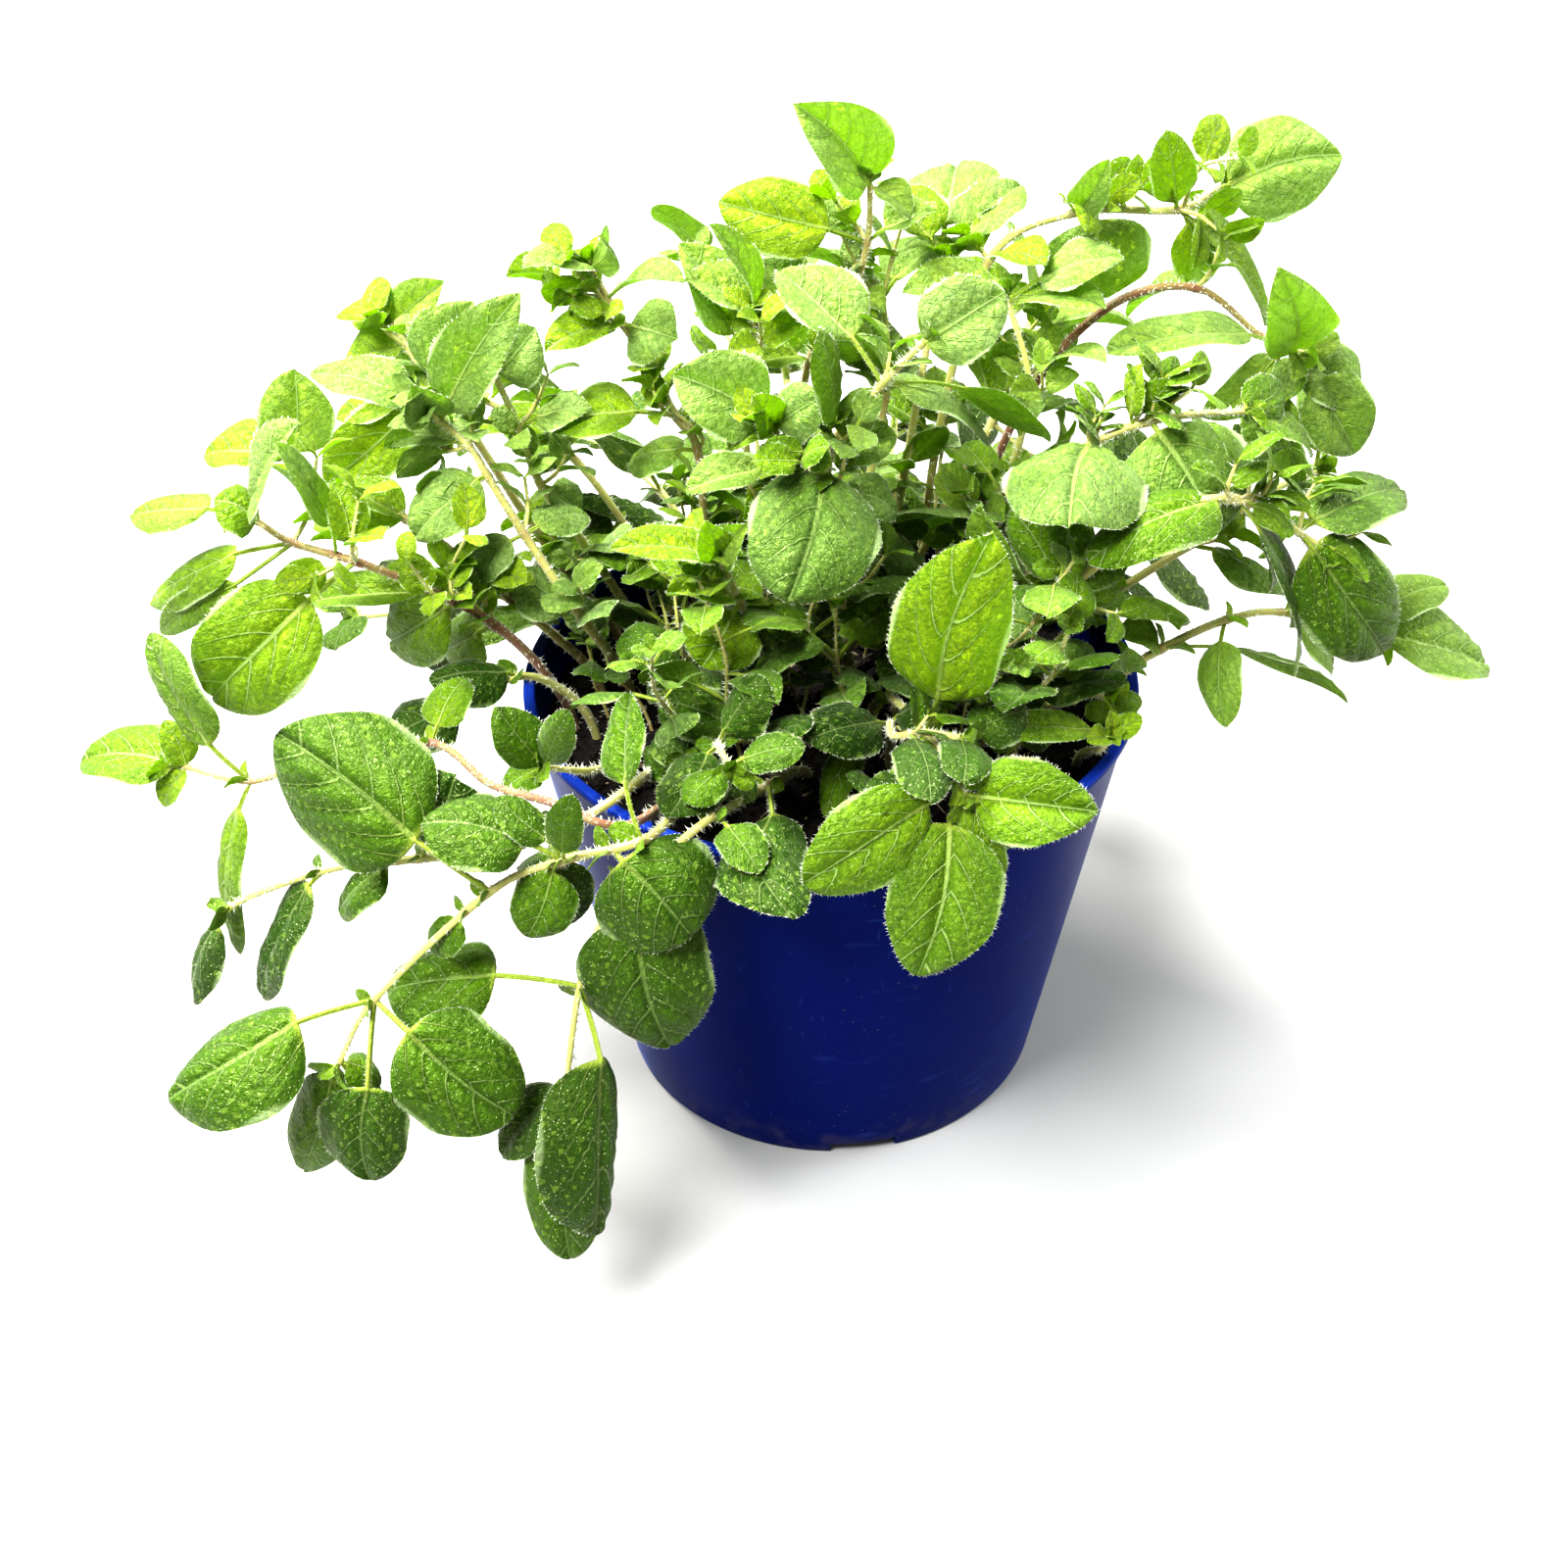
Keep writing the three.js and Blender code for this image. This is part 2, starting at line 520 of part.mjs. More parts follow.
// ---------------------------------------------------------------- soil
function soilSolid(roots) {
  const random = generator(4711);
  const bottom = FLOOR_TOP + SOIL.gap;
  const edgeTop = wallRadius(SOIL.top) - POT.wall - SOIL.gap;
  const edgeBottom = wallRadius(bottom) - POT.wall - SOIL.gap;
  const shares = [0.34, 0.7, 1];
  const points = [new THREE.Vector3(0, 0, SOIL.top + SOIL.relief)];
  const ring = (radius, height) => {
    for (let i = 0; i < SOIL.segments; i++) {
      const angle = (i / SOIL.segments) * 2 * Math.PI;
      points.push(new THREE.Vector3(radius * Math.cos(angle), radius * Math.sin(angle), height()));
    }
  };
  for (const share of shares) {
    const lumpy = () => SOIL.top + SOIL.relief * (2 * random() - 1);
    ring(edgeTop * share, share === 1 ? () => SOIL.top - 0.5 : lumpy);
  }
  ring(edgeBottom, () => bottom);
  points.push(new THREE.Vector3(0, 0, bottom));
  const triangles = [];
  const n = SOIL.segments;
  const last = points.length - 1;
  for (let i = 0; i < n; i++) {
    const j = (i + 1) % n;
    triangles.push([0, 1 + i, 1 + j]);
    for (let r = 0; r < shares.length; r++) {
      const [a, b] = [1 + r * n + i, 1 + r * n + j];
      triangles.push([a, a + n, b + n], [a, b + n, b]);
    }
    triangles.push([last, last - n + j, last - n + i]);
  }
  let soil = toSolid(geometryOf(points, triangles));
  for (const root of roots) {
    const width = STEM.root * Math.SQRT2 + 2 * SOIL.holeGap;
    const hole = new THREE.BoxGeometry(width, width, 40);
    hole.translate(root.x, root.y, SOIL.top - SOIL.buried - SOIL.holeGap + 20);
    soil = soil.subtract(toSolid(hole));
  }
  return soil;
}

// ---------------------------------------------------------------- stems
// A curve through the places, the same in each span: place i is at i / (count - 1).
const curveThrough = (points) => new THREE.CatmullRomCurve3(points, false, "catmullrom", 0.5);

function pointOn(points, at) {
  return curveThrough(points).getPoint(Math.min(at / (points.length - 1), 1));
}

// Stems of this family are square. A stem starts upright in its hole, then follows its curve.
function stemSolid(points) {
  const rings = [points[0].clone().setZ(SOIL.top - SOIL.buried)];
  const steps = (points.length - 1) * STEM.ringsPerSpan;
  for (let i = 0; i <= steps; i++) rings.push(pointOn(points, i / STEM.ringsPerSpan));
  const corners = [];
  const side = new THREE.Vector3(1, 0, 0);
  rings.forEach((ring, i) => {
    const tangent = i < 2
      ? new THREE.Vector3(0, 0, 1)
      : rings[Math.min(i + 1, rings.length - 1)].clone().sub(rings[i - 1]).normalize();
    side.addScaledVector(tangent, -side.dot(tangent)).normalize();
    const other = tangent.clone().cross(side);
    const radius = THREE.MathUtils.lerp(STEM.root, STEM.tip, i / (rings.length - 1));
    for (let k = 0; k < 4; k++) {
      const angle = (k + 0.5) * (Math.PI / 2);
      corners.push(ring.clone()
        .addScaledVector(side, radius * Math.cos(angle))
        .addScaledVector(other, radius * Math.sin(angle)));
    }
  });
  const triangles = [[0, 2, 1], [0, 3, 2]];
  for (let i = 0; i < rings.length - 1; i++) {
    for (let k = 0; k < 4; k++) {
      const [a, b] = [4 * i + k, 4 * i + ((k + 1) % 4)];
      triangles.push([a, b, b + 4], [a, b + 4, a + 4]);
    }
  }
  const end = corners.length - 4;
  triangles.push([end, end + 1, end + 2], [end, end + 2, end + 3]);
  return toSolid(geometryOf(corners, triangles));
}

// ---------------------------------------------------------------- leaves
// The outline of a leaf: [share of the blade's length, share of its half width].
const LOWER = [0.27, 1.02];
const UPPER = [0.7, 0.8];

// How each kind of plate is put together: the corners round its border, and the triangles of its upper face.
// Corners go from the root to the tip in pairs, right then left; the last ones lie on the midrib.
const PLATE = {
  stalked: {
    border: [0, 1, 3, 5, 7, 8, 6, 4, 2],
    face: [[0, 1, 3], [0, 3, 2], [2, 3, 9], [3, 5, 9], [2, 9, 4], [5, 7, 10], [5, 10, 9],
      [4, 9, 10], [4, 10, 6], [7, 8, 10], [8, 6, 10]],
  },
  folded: {
    border: [0, 2, 4, 5, 3, 1],
    face: [[0, 2, 6], [2, 4, 6], [4, 5, 6], [5, 3, 6], [3, 1, 6], [1, 0, 6]],
  },
  flat: {
    border: [0, 2, 4, 5, 3, 1],
    face: [[0, 2, 1], [1, 2, 4], [1, 4, 3], [3, 4, 5]],
  },
};

// A blade and its stalk as a plate. Both faces have the same triangles, so that it stays as thick all over.
function leafSolid({ root, tip, width, stalk, face }) {
  const along = tip.clone().sub(root);
  const length = along.length();
  const direction = along.clone().normalize();
  const normal = face.clone().addScaledVector(direction, -face.dot(direction)).normalize();
  const across = normal.clone().cross(direction);
  const point = (s, half, v) => root.clone()
    .addScaledVector(along, s)
    .addScaledVector(normal, LEAF.arch * 4 * s * (1 - s) * length - LEAF.fold * Math.abs(v) * half)
    .addScaledVector(across, v * half);
  const pair = (s, half) => [point(s, half, 1), point(s, half, -1)];
  const station = ([share, shareOfHalf]) => [stalk + share * (1 - stalk), (shareOfHalf * width) / 2];
  const [lower, upper] = [station(LOWER), station(UPPER)];
  const small = width >= LEAF.middling ? "folded" : "flat";
  const kind = width >= LEAF.large || stalk >= LEAF.stalked ? "stalked" : small;
  const outline = {
    stalked: () => [
      ...pair(0, LEAF.stalkWidth / 2), ...pair(stalk, LEAF.stalkWidth / 2),
      ...pair(...lower), ...pair(...upper),
      point(1, 0, 0), point(...lower, 0), point(...upper, 0),
    ],
    folded: () => [
      point(0, 0, 0), ...pair(...lower), ...pair(...upper), point(1, 0, 0), point(...lower, 0),
    ],
    flat: () => [point(0, 0, 0), ...pair(...lower), ...pair(...upper), point(1, 0, 0)],
  }[kind]();
  const { border, face: upperFace } = PLATE[kind];
  const count = outline.length;
  const half = LEAF.thickness / 2;
  const points = [
    ...outline.map((p) => p.clone().addScaledVector(normal, half)),
    ...outline.map((p) => p.clone().addScaledVector(normal, -half)),
  ];
  const triangles = [
    ...upperFace,
    ...upperFace.map(([a, b, c]) => [a + count, c + count, b + count]),
    ...border.flatMap((a, i) => {
      const b = border[(i + 1) % border.length];
      return [[b, a, a + count], [b, a + count, b + count]];
    }),
  ];
  return toSolid(geometryOf(points, triangles));
}

// ---------------------------------------------------------------- how stems and leaves keep clear
// What is tried, in turn, for a stem: how far it slides along its lines of sight, in mm.
const STEM_TRIES = [0, 4, -4, 8, -8, 12, -12, 16, -16, 20, -20];
// What is tried, in turn, for a leaf: how far its tip slides, in mm, and the size it keeps.
const LEAF_TRIES = [
  [0, 1], [3, 1], [-3, 1], [6, 1], [-6, 1], [10, 1], [-10, 1], [14, 0.95], [-14, 0.95],
  [0, 0.85], [5, 0.85], [-5, 0.85], [10, 0.85], [-10, 0.85],
  [0, 0.7], [5, 0.7], [-5, 0.7], [0, 0.55], [4, 0.55], [-4, 0.55],
];

function boxOf(solid) {
  const { min, max } = solid.boundingBox();
  return new THREE.Box3(vector(min), vector(max)).expandByScalar(CLEAR);
}

function isClear(piece, placed) {
  return placed.every((other) => {
    const joined = other.at === undefined || Math.abs(other.at - piece.at) < STEM.joined;
    if (other.node === piece.node && joined) return true;
    if (!other.box.intersectsBox(piece.box)) return true;
    return piece.solid.minGap(other.solid, CLEAR) >= CLEAR - 1e-4;
  });
}

const awayFromEye = (point) => point.clone().sub(EYE).normalize();

// A stem's root is upright in the soil, clear of the wall.
function rootAt(point) {
  const radius = Math.hypot(point.x, point.y);
  const keep = Math.min(1, STEM.rootCircle / radius);
  return new THREE.Vector3(point.x * keep, point.y * keep, SOIL.top + STEM.rise);
}

function slid(points, slide) {
  const share = (i) => Math.min(1, i / 2);
  return points.map((point, i) => point.clone().addScaledVector(awayFromEye(point), slide * share(i)));
}

function triedLeaf(leaf, stemPoints, [slide, size]) {
  const root = pointOn(stemPoints, leaf.at);
  const tip = leaf.tip.clone().addScaledVector(awayFromEye(leaf.tip), slide);
  tip.sub(root).multiplyScalar(size).add(root);
  return { ...leaf, root, tip, width: leaf.width * size };
}

// ---------------------------------------------------------------- the plant's plan
function plannedStem([name, tone, places, leaves], index) {
  const random = generator(11 + 29 * index);
  const [root, ...rest] = places.map(sight);
  const points = [rootAt(root), ...rest];
  const outward = root.clone().setZ(0).normalize();
  return {
    name,
    tone,
    points,
    leaves: [
      ...leaves.map(([at, tip, width, stalk, face]) => ({
        at: Math.min(at, places.length - 1 - STEM.tipInset),
        tip: sight(tip),
        width,
        stalk,
        face: vector(FACE[face]),
      })),
      ...(points[1].z > UNDERGROWTH.standsAbove
        ? leafPair(points, UNDERGROWTH.at, UNDERGROWTH.width, UNDERGROWTH.turn, random, outward)
        : []),
    ],
  };
}

// Two opposite leaves at a place on a stem, turned about it by an angle in degrees.
function leafPair(points, place, width, turn, random, out) {
  const node = pointOn(points, place);
  const along = pointOn(points, Math.min(place + 0.1, points.length - 1))
    .sub(pointOn(points, place - 0.1)).normalize();
  const level = new THREE.Vector3(0, 0, 1).cross(along).normalize();
  const upward = along.clone().cross(level);
  const angle = degrees(turn) + (random() - 0.5) * 0.5;
  return [1, -1].map((flip) => {
    const wide = width * (0.85 + 0.3 * random());
    const direction = level.clone().multiplyScalar(flip * Math.cos(angle))
      .addScaledVector(upward, flip * Math.sin(angle))
      .addScaledVector(along, 0.35 + 0.35 * random());
    direction.z += LEAF.lift;
    const tip = node.clone().addScaledVector(direction.normalize(), wide * (1.45 + 0.3 * random()));
    const face = new THREE.Vector3(0, 0, 1).addScaledVector(out, 0.45);
    return { at: place, tip, width: wide, stalk: LEAF.shortStalk, face };
  });
}

// A stem that leans out on a bearing and carries pairs of leaves, each pair turned from the last.
function fillerStem([name, tone, bearing, rooted, reach, height, width, pairs], seed) {
  const random = generator(seed);
  const out = new THREE.Vector3(Math.cos(degrees(bearing)), Math.sin(degrees(bearing)), 0);
  const around = new THREE.Vector3(-out.y, out.x, 0);
  const rise = height - SOIL.top;
  const bend = (random() - 0.5) * 14;
  const at = (outward, sideways, z) => out.clone().multiplyScalar(rooted + outward)
    .addScaledVector(around, sideways).setZ(z);
  const points = [
    at(0, 0, SOIL.top + STEM.rise),
    at(reach * 0.18, bend * 0.4, SOIL.top + Math.max(rise * 0.42, 14)),
    at(reach * 0.5, bend, SOIL.top + Math.max(rise * 0.78, 17)),
    at(reach * 0.8, bend * 0.6, SOIL.top + Math.max(rise * 0.98, 10)),
    at(reach, 0, height),
  ];
  const leaves = [];
  for (let i = 0; i < pairs; i++) {
    const place = 1 + (i * (3 - STEM.tipInset)) / (pairs - 1);
    const grown = i === pairs - 1 ? 0.62 : 1 - 0.1 * i;
    leaves.push(...leafPair(points, place, width * grown, i % 2 === 0 ? 10 : 62, random, out));
  }
  return { name, tone, points, leaves };
}

// ---------------------------------------------------------------- the assembly
function grow() {
  const pot = { node: "pot", solid: potSolid() };
  const plan = [...STEMS.map(plannedStem), ...FILLERS.map((filler, i) => fillerStem(filler, 101 + 37 * i))];
  const soil = { node: "soil", solid: soilSolid(plan.map((stem) => stem.points[0])) };
  const placed = [pot, soil];
  for (const piece of placed) piece.box = boxOf(piece.solid);
  const keep = (piece) => {
    piece.box = boxOf(piece.solid);
    if (!isClear(piece, placed)) return false;
    placed.push(piece);
    return true;
  };

  for (const stem of plan) {
    stem.grown = STEM_TRIES.some((slide) => {
      stem.at = slid(stem.points, slide);
      stem.slide = slide;
      return keep({ node: stem.name, solid: stemSolid(stem.at) });
    });
  }
  const leaves = plan
    .filter((stem) => stem.grown)
    .flatMap((stem) => stem.leaves.map((leaf) => ({ stem, leaf })));
  leaves.sort((a, b) => b.leaf.width - a.leaf.width);
  for (const { stem, leaf } of leaves) {
    const moved = { ...leaf, tip: leaf.tip.clone().addScaledVector(awayFromEye(leaf.tip), stem.slide) };
    LEAF_TRIES.some((variation) => keep({
      node: stem.name,
      at: leaf.at,
      solid: leafSolid(triedLeaf(moved, stem.at, variation)),
    }));
  }

  const plant = new THREE.Group();
  plant.name = "oregano_in_pot";
  plant.add(toMesh("pot", pot.solid, COLOUR.pot, 0.35));
  plant.add(toMesh("soil", soil.solid, COLOUR.soil, 0.95));
  for (const stem of plan) {
    const pieces = placed.filter((piece) => piece.node === stem.name);
    if (pieces.length < 2) continue;
    const whole = wasm.Manifold.union(pieces.map((piece) => piece.solid));
    plant.add(toMesh(stem.name, whole, COLOUR[stem.tone], 0.6));
  }
  return plant;
}

export default grow();
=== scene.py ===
"""An oregano plant in a round nursery pot, dressed round its CAD model.

The plan of the stems and leaves is in millimetres, as in the part's source, and the meshes are in metres.
"""
import math

import bpy
import numpy as np
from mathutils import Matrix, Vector


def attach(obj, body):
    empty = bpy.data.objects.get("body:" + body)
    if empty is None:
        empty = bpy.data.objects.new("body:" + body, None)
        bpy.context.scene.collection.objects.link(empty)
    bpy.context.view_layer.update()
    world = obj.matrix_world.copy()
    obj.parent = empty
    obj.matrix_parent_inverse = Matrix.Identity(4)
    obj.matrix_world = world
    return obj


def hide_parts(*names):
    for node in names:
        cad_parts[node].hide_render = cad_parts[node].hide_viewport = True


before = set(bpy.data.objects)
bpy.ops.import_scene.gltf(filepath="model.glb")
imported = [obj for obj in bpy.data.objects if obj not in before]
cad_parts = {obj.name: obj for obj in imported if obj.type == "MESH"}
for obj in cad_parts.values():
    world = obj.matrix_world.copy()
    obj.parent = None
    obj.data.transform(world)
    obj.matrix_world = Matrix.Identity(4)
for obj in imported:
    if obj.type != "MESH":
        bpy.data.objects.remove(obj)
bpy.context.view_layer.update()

MM = 0.001
QUICK_SHARE = 1.0
FULL_TURN = 2 * math.pi
SEEDS = {"hairs": 3, "soil": 87, "undergrowth": 1923, "first_stem": 500, "front_right": 531}

# ---------------------------------------------------------------- driving dimensions, as in the part's source
POT = {
    "rim_radius": 65, "base_radius": 46.8, "height": 96.5, "wall": 1.5, "bead_width": 0.9, "bead_height": 2.6,
}
FOOT = {"lift": 3, "pad": 14, "notch_width": 14.5, "notches": 4, "notch_turn": 8.6}
DRAIN = {"holes": 8, "radius": 3.2, "circle": 31, "turn": -59}
SOIL = {"top": 87, "gap": 0.4, "buried": 8}
LEAF = {"thickness": 0.7, "stalk_width": 1.1, "arch": 0.1, "fold": 0.22, "short_stalk": 0.2, "lift": 0.1}
STEM = {"root": 1.5, "tip": 0.9, "rings_per_span": 2, "rise": 3, "root_circle": 54, "tip_inset": 0.04}
STATION = {"elevation": 36.7, "distance": 496, "aim": 66.6, "axis_column": 848, "axis_row": 800, "grid": 2300}
TILT = math.radians(STATION["elevation"])
EYE = np.array([
    0, -STATION["distance"] * math.cos(TILT), STATION["aim"] + STATION["distance"] * math.sin(TILT),
])

FACE = {
    "viewer": [0, -math.cos(TILT), math.sin(TILT)],
    "up": [0, -0.25, 1],
    "left": [-0.75, -0.35, 0.6],
    "right": [0.75, -0.35, 0.6],
    "front": [0, -1, 0.25],
    "back": [0, 0.6, 0.8],
}


# ---------------------------------------------------------------- the plan of the plant, as in the source
# A place is [column, row, height in mm]: the point at that height on that line of sight.
# A stem is [name, tone of its leaves, places that it passes through from the soil to its tip, its leaves].
# A leaf is [where on the stem, counted in places from the soil, place of its tip, width in mm,
# share of its length that is stalk, the way it faces].
STEMS = [
  ["trail_left", "mature", [
    [745, 790, 88], [700, 820, 99], [655, 858, 103], [575, 878, 100], [500, 910, 95],
    [382, 1020, 76], [345, 1085, 66],
  ], [
    [4, [281, 748, 118], 27, 0.32, "viewer"],
    [2.4, [706, 957, 86], 24, 0.12, "viewer"],
    [5, [167, 1118, 64], 24, 0.33, "up"],
    [5, [524, 1140, 56], 22, 0.25, "viewer"],
    [5, [376, 1206, 44], 17, 0.45, "viewer"],
    [6, [308, 1197, 46], 13, 0.12, "viewer"],
    [6, [392, 1103, 62], 8, 0.15, "up"],
    [6, [378, 1158, 50], 9, 0.15, "right"],
    [4.2, [440, 972, 82], 7, 0.2, "viewer"],
    [2, [642, 706, 125], 13, 0.39, "left"],
    [3, [507, 813, 112], 8, 0.3, "up"],
    [3, [432, 835, 104], 18, 0.3, "up"],
    [3, [582, 813, 118], 7, 0.2, "viewer"],
    [3.1, [537, 958, 86], 12, 0.1, "viewer"],
    [2.8, [480, 892, 88], 11, 0.25, "up"],
  ]],
  ["trail_front", "mature", [
    [830, 785, 88], [765, 812, 99], [705, 850, 103], [622, 930, 88], [592, 1006, 73],
    [577, 1112, 53],
  ], [
    [2.7, [684, 1072, 60], 25, 0.15, "viewer"],
    [4, [394, 1006, 78], 21, 0.42, "up"],
    [4, [613, 1262, 30], 20, 0.28, "right"],
    [5, [509, 1178, 42], 13, 0.08, "left"],
    [5, [581, 1287, 22], 15, 0.12, "viewer"],
    [0.7, [806, 929, 98], 17, 0.38, "viewer"],
    [0.7, [657, 764, 99], 10, 0.5, "up"],
    [1.6, [775, 890, 101], 9, 0.3, "up"],
  ]],
  ["front_right", "fresh", [
    [880, 745, 88], [905, 712, 100], [945, 745, 108], [968, 785, 112], [985, 812, 110],
  ], [
    [2, [1012, 546, 158], 21, 0.25, "viewer"],
    [3.3, [821, 903, 97], 17, 0.22, "front"],
    [3.5, [936, 997, 80], 21, 0.2, "viewer"],
    [4, [1119, 828, 112], 16, 0.1, "viewer"],
    [4, [1030, 868, 103], 14, 0.08, "viewer"],
    [4, [1010, 921, 92], 9, 0.15, "viewer"],
    [2, [920, 842, 97], 9, 0.35, "viewer"],
    [2.5, [1014, 788, 101], 9, 0.1, "up"],
    [1.7, [731, 717, 118], 10, 0.25, "up"],
    [1, [842, 832, 94], 7, 0.35, "up"],
    [1, [898, 779, 98], 7, 0.2, "viewer"],
  ]],
  ["rim_right", "fresh", [[960, 762, 88], [1040, 730, 96], [1100, 710, 104], [1126, 711, 106]], [
    [3, [1166, 716, 105], 8, 0.1, "up"],
    [3, [1122, 739, 100], 7, 0.1, "viewer"],
  ]],
  ["edge_right", "fresh", [[1098, 775, 88], [1120, 765, 96], [1133, 751, 102]], [
    [2, [984, 745, 110], 8, 0.15, "up"],
  ]],
  ["right_low", "pale", [
    [1050, 735, 88], [1120, 700, 101], [1185, 662, 107], [1250, 633, 113], [1310, 625, 114],
    [1400, 650, 104],
  ], [
    [5, [1519, 678, 94], 20, 0.08, "up"],
    [4.8, [1476, 596, 110], 12, 0.2, "up"],
    [4, [1360, 682, 98], 13, 0.1, "up"],
    [2, [1376, 712, 96], 11, 0.35, "back"],
    [3, [1249, 742, 92], 11, 0.2, "left"],
    [2.3, [1280, 612, 118], 14, 0.2, "up"],
    [2, [1139, 645, 112], 10, 0.1, "up"],
    [1.4, [1150, 663, 116], 8, 0.3, "viewer"],
  ]],
  ["right_mid", "mature", [
    [990, 690, 88], [1090, 600, 130], [1200, 520, 150], [1275, 512, 150], [1325, 543, 142],
    [1340, 560, 138],
  ], [
    [4, [1432, 496, 142], 15, 0.12, "up"],
    [4, [1420, 669, 112], 19, 0.1, "viewer"],
    [5, [1330, 637, 112], 11, 0.05, "viewer"],
    [2.7, [1110, 570, 140], 16, 0.1, "up"],
    [2.8, [1323, 690, 106], 9, 0.15, "right"],
    [3, [1300, 600, 122], 8, 0.15, "right"],
    [1, [1150, 560, 138], 11, 0.2, "up"],
    [1, [1030, 520, 140], 12, 0.2, "left"],
  ]],
  ["arch_red", "pale", [
    [960, 660, 88], [1005, 500, 125], [1060, 385, 155], [1140, 308, 172], [1221, 294, 174],
    [1281, 338, 164], [1322, 362, 160],
  ], [
    [6, [1306, 276, 186], 14, 0.15, "front"],
    [5.5, [1129, 358, 168], 11, 0.2, "up"],
    [6, [1390, 402, 150], 13, 0.1, "viewer"],
    [6, [1386, 464, 138], 15, 0.25, "viewer"],
    [6, [1306, 410, 152], 7, 0.1, "viewer"],
    [5.7, [1226, 425, 150], 9, 0.15, "front"],
    [6, [1262, 437, 142], 9, 0.1, "right"],
    [6, [1330, 527, 122], 12, 0.3, "left"],
    [2, [1129, 369, 170], 9, 0.1, "up"],
    [2, [1010, 350, 165], 12, 0.2, "up"],
    [4, [1150, 322, 160], 8, 0.15, "up"],
  ]],
  ["top_right", "fresh", [
    [930, 645, 88], [960, 430, 142], [1010, 265, 176], [1097, 217, 186], [1200, 214, 188],
    [1245, 192, 190],
  ], [
    [5, [1370, 157, 196], 20, 0.08, "viewer"],
    [4, [1191, 134, 206], 9, 0.15, "viewer"],
    [5, [1229, 227, 184], 10, 0.1, "back"],
    [3, [1132, 163, 202], 7, 0.15, "viewer"],
    [3, [1086, 205, 190], 8, 0.1, "up"],
    [3.2, [1122, 306, 166], 21, 0.1, "viewer"],
    [4, [1293, 332, 162], 11, 0.12, "right"],
    [4.1, [1225, 292, 168], 12, 0.15, "viewer"],
    [2, [1066, 268, 182], 10, 0.2, "up"],
    [1, [900, 470, 140], 12, 0.2, "up"],
  ]],
  ["fan_right", "pale", [[985, 665, 88], [1020, 520, 126], [1050, 400, 154], [1028, 305, 172]], [
    [3, [1128, 314, 176], 10, 0.15, "up"],
    [3, [921, 296, 174], 13, 0.15, "up"],
    [3, [1145, 262, 184], 13, 0.35, "up"],
    [2, [1040, 445, 158], 7, 0.2, "viewer"],
  ]],
  ["top_mid", "fresh", [[895, 640, 88], [925, 470, 135], [950, 330, 164], [962, 268, 176]], [
    [3, [976, 166, 186], 21, 0.3, "back"],
    [3, [1041, 188, 186], 13, 0.3, "up"],
    [3, [914, 194, 186], 12, 0.3, "up"],
    [2.6, [997, 232, 180], 9, 0.2, "viewer"],
  ]],
  ["top_centre", "lime", [
    [800, 640, 88], [812, 480, 128], [826, 368, 156], [868, 303, 172], [885, 248, 184],
    [888, 188, 196],
  ], [
    [4, [733, 206, 192], 15, 0.28, "viewer"],
    [4, [955, 215, 190], 10, 0.3, "up"],
    [5, [812, 106, 214], 15, 0.06, "viewer"],
    [5, [930, 222, 188], 8, 0.1, "up"],
    [3, [902, 320, 170], 8, 0.2, "right"],
    [2, [760, 372, 160], 10, 0.2, "up"],
  ]],
  ["centre_high", "grey", [
    [850, 690, 88], [840, 560, 125], [850, 455, 158], [900, 392, 172], [942, 350, 180],
  ], [
    [4, [1024, 298, 190], 15, 0.05, "viewer"],
    [3, [795, 275, 188], 16, 0.33, "up"],
    [3, [1072, 448, 152], 10, 0.45, "back"],
    [3, [1011, 452, 150], 12, 0.1, "up"],
    [2, [915, 445, 160], 9, 0.15, "viewer"],
  ]],
  ["centre_left", "fresh", [[800, 700, 88], [802, 580, 125], [795, 480, 152], [792, 432, 162]], [
    [3, [688, 382, 172], 16, 0.15, "viewer"],
    [3, [838, 404, 172], 11, 0.05, "viewer"],
    [3, [744, 456, 160], 11, 0.2, "up"],
    [3, [770, 405, 172], 8, 0.05, "viewer"],
    [2, [700, 500, 150], 10, 0.2, "up"],
  ]],
  ["centre_mid", "mature", [[868, 712, 88], [858, 600, 124], [846, 500, 150], [846, 440, 163]], [
    [2.5, [805, 613, 140], 24, 0.12, "viewer"],
    [3, [837, 337, 184], 11, 0.15, "right"],
    [3, [800, 452, 164], 9, 0.15, "up"],
    [2, [918, 520, 146], 11, 0.2, "up"],
  ]],
  ["centre_front", "lime", [[790, 718, 88], [785, 680, 99], [755, 615, 124], [735, 568, 138]], [
    [3, [622, 560, 144], 11, 0.05, "up"],
    [3, [721, 532, 150], 8, 0.05, "viewer"],
    [3, [762, 535, 150], 8, 0.05, "viewer"],
    [2, [716, 681, 114], 16, 0.15, "viewer"],
    [2, [680, 606, 130], 14, 0.2, "up"],
    [1, [728, 674, 104], 7, 0.3, "up"],
  ]],
  ["shoot_left", "fresh", [
    [730, 680, 88], [720, 560, 118], [712, 460, 145], [690, 425, 152], [655, 362, 163],
    [620, 305, 174], [603, 272, 180],
  ], [
    [6, [536, 272, 184], 11, 0.05, "up"],
    [6, [613, 240, 194], 8, 0.05, "right"],
    [5, [696, 285, 184], 10, 0.3, "up"],
    [3, [555, 437, 150], 16, 0.3, "up"],
    [3, [745, 395, 160], 9, 0.2, "up"],
    [4.5, [556, 357, 168], 10, 0.15, "up"],
    [4.5, [690, 345, 170], 14, 0.2, "viewer"],
    [2, [640, 470, 140], 12, 0.2, "up"],
    [1, [640, 590, 122], 14, 0.15, "viewer"],
  ]],
  ["shoot_back", "lime", [[780, 650, 88], [770, 520, 125], [756, 400, 155], [770, 318, 174]], [
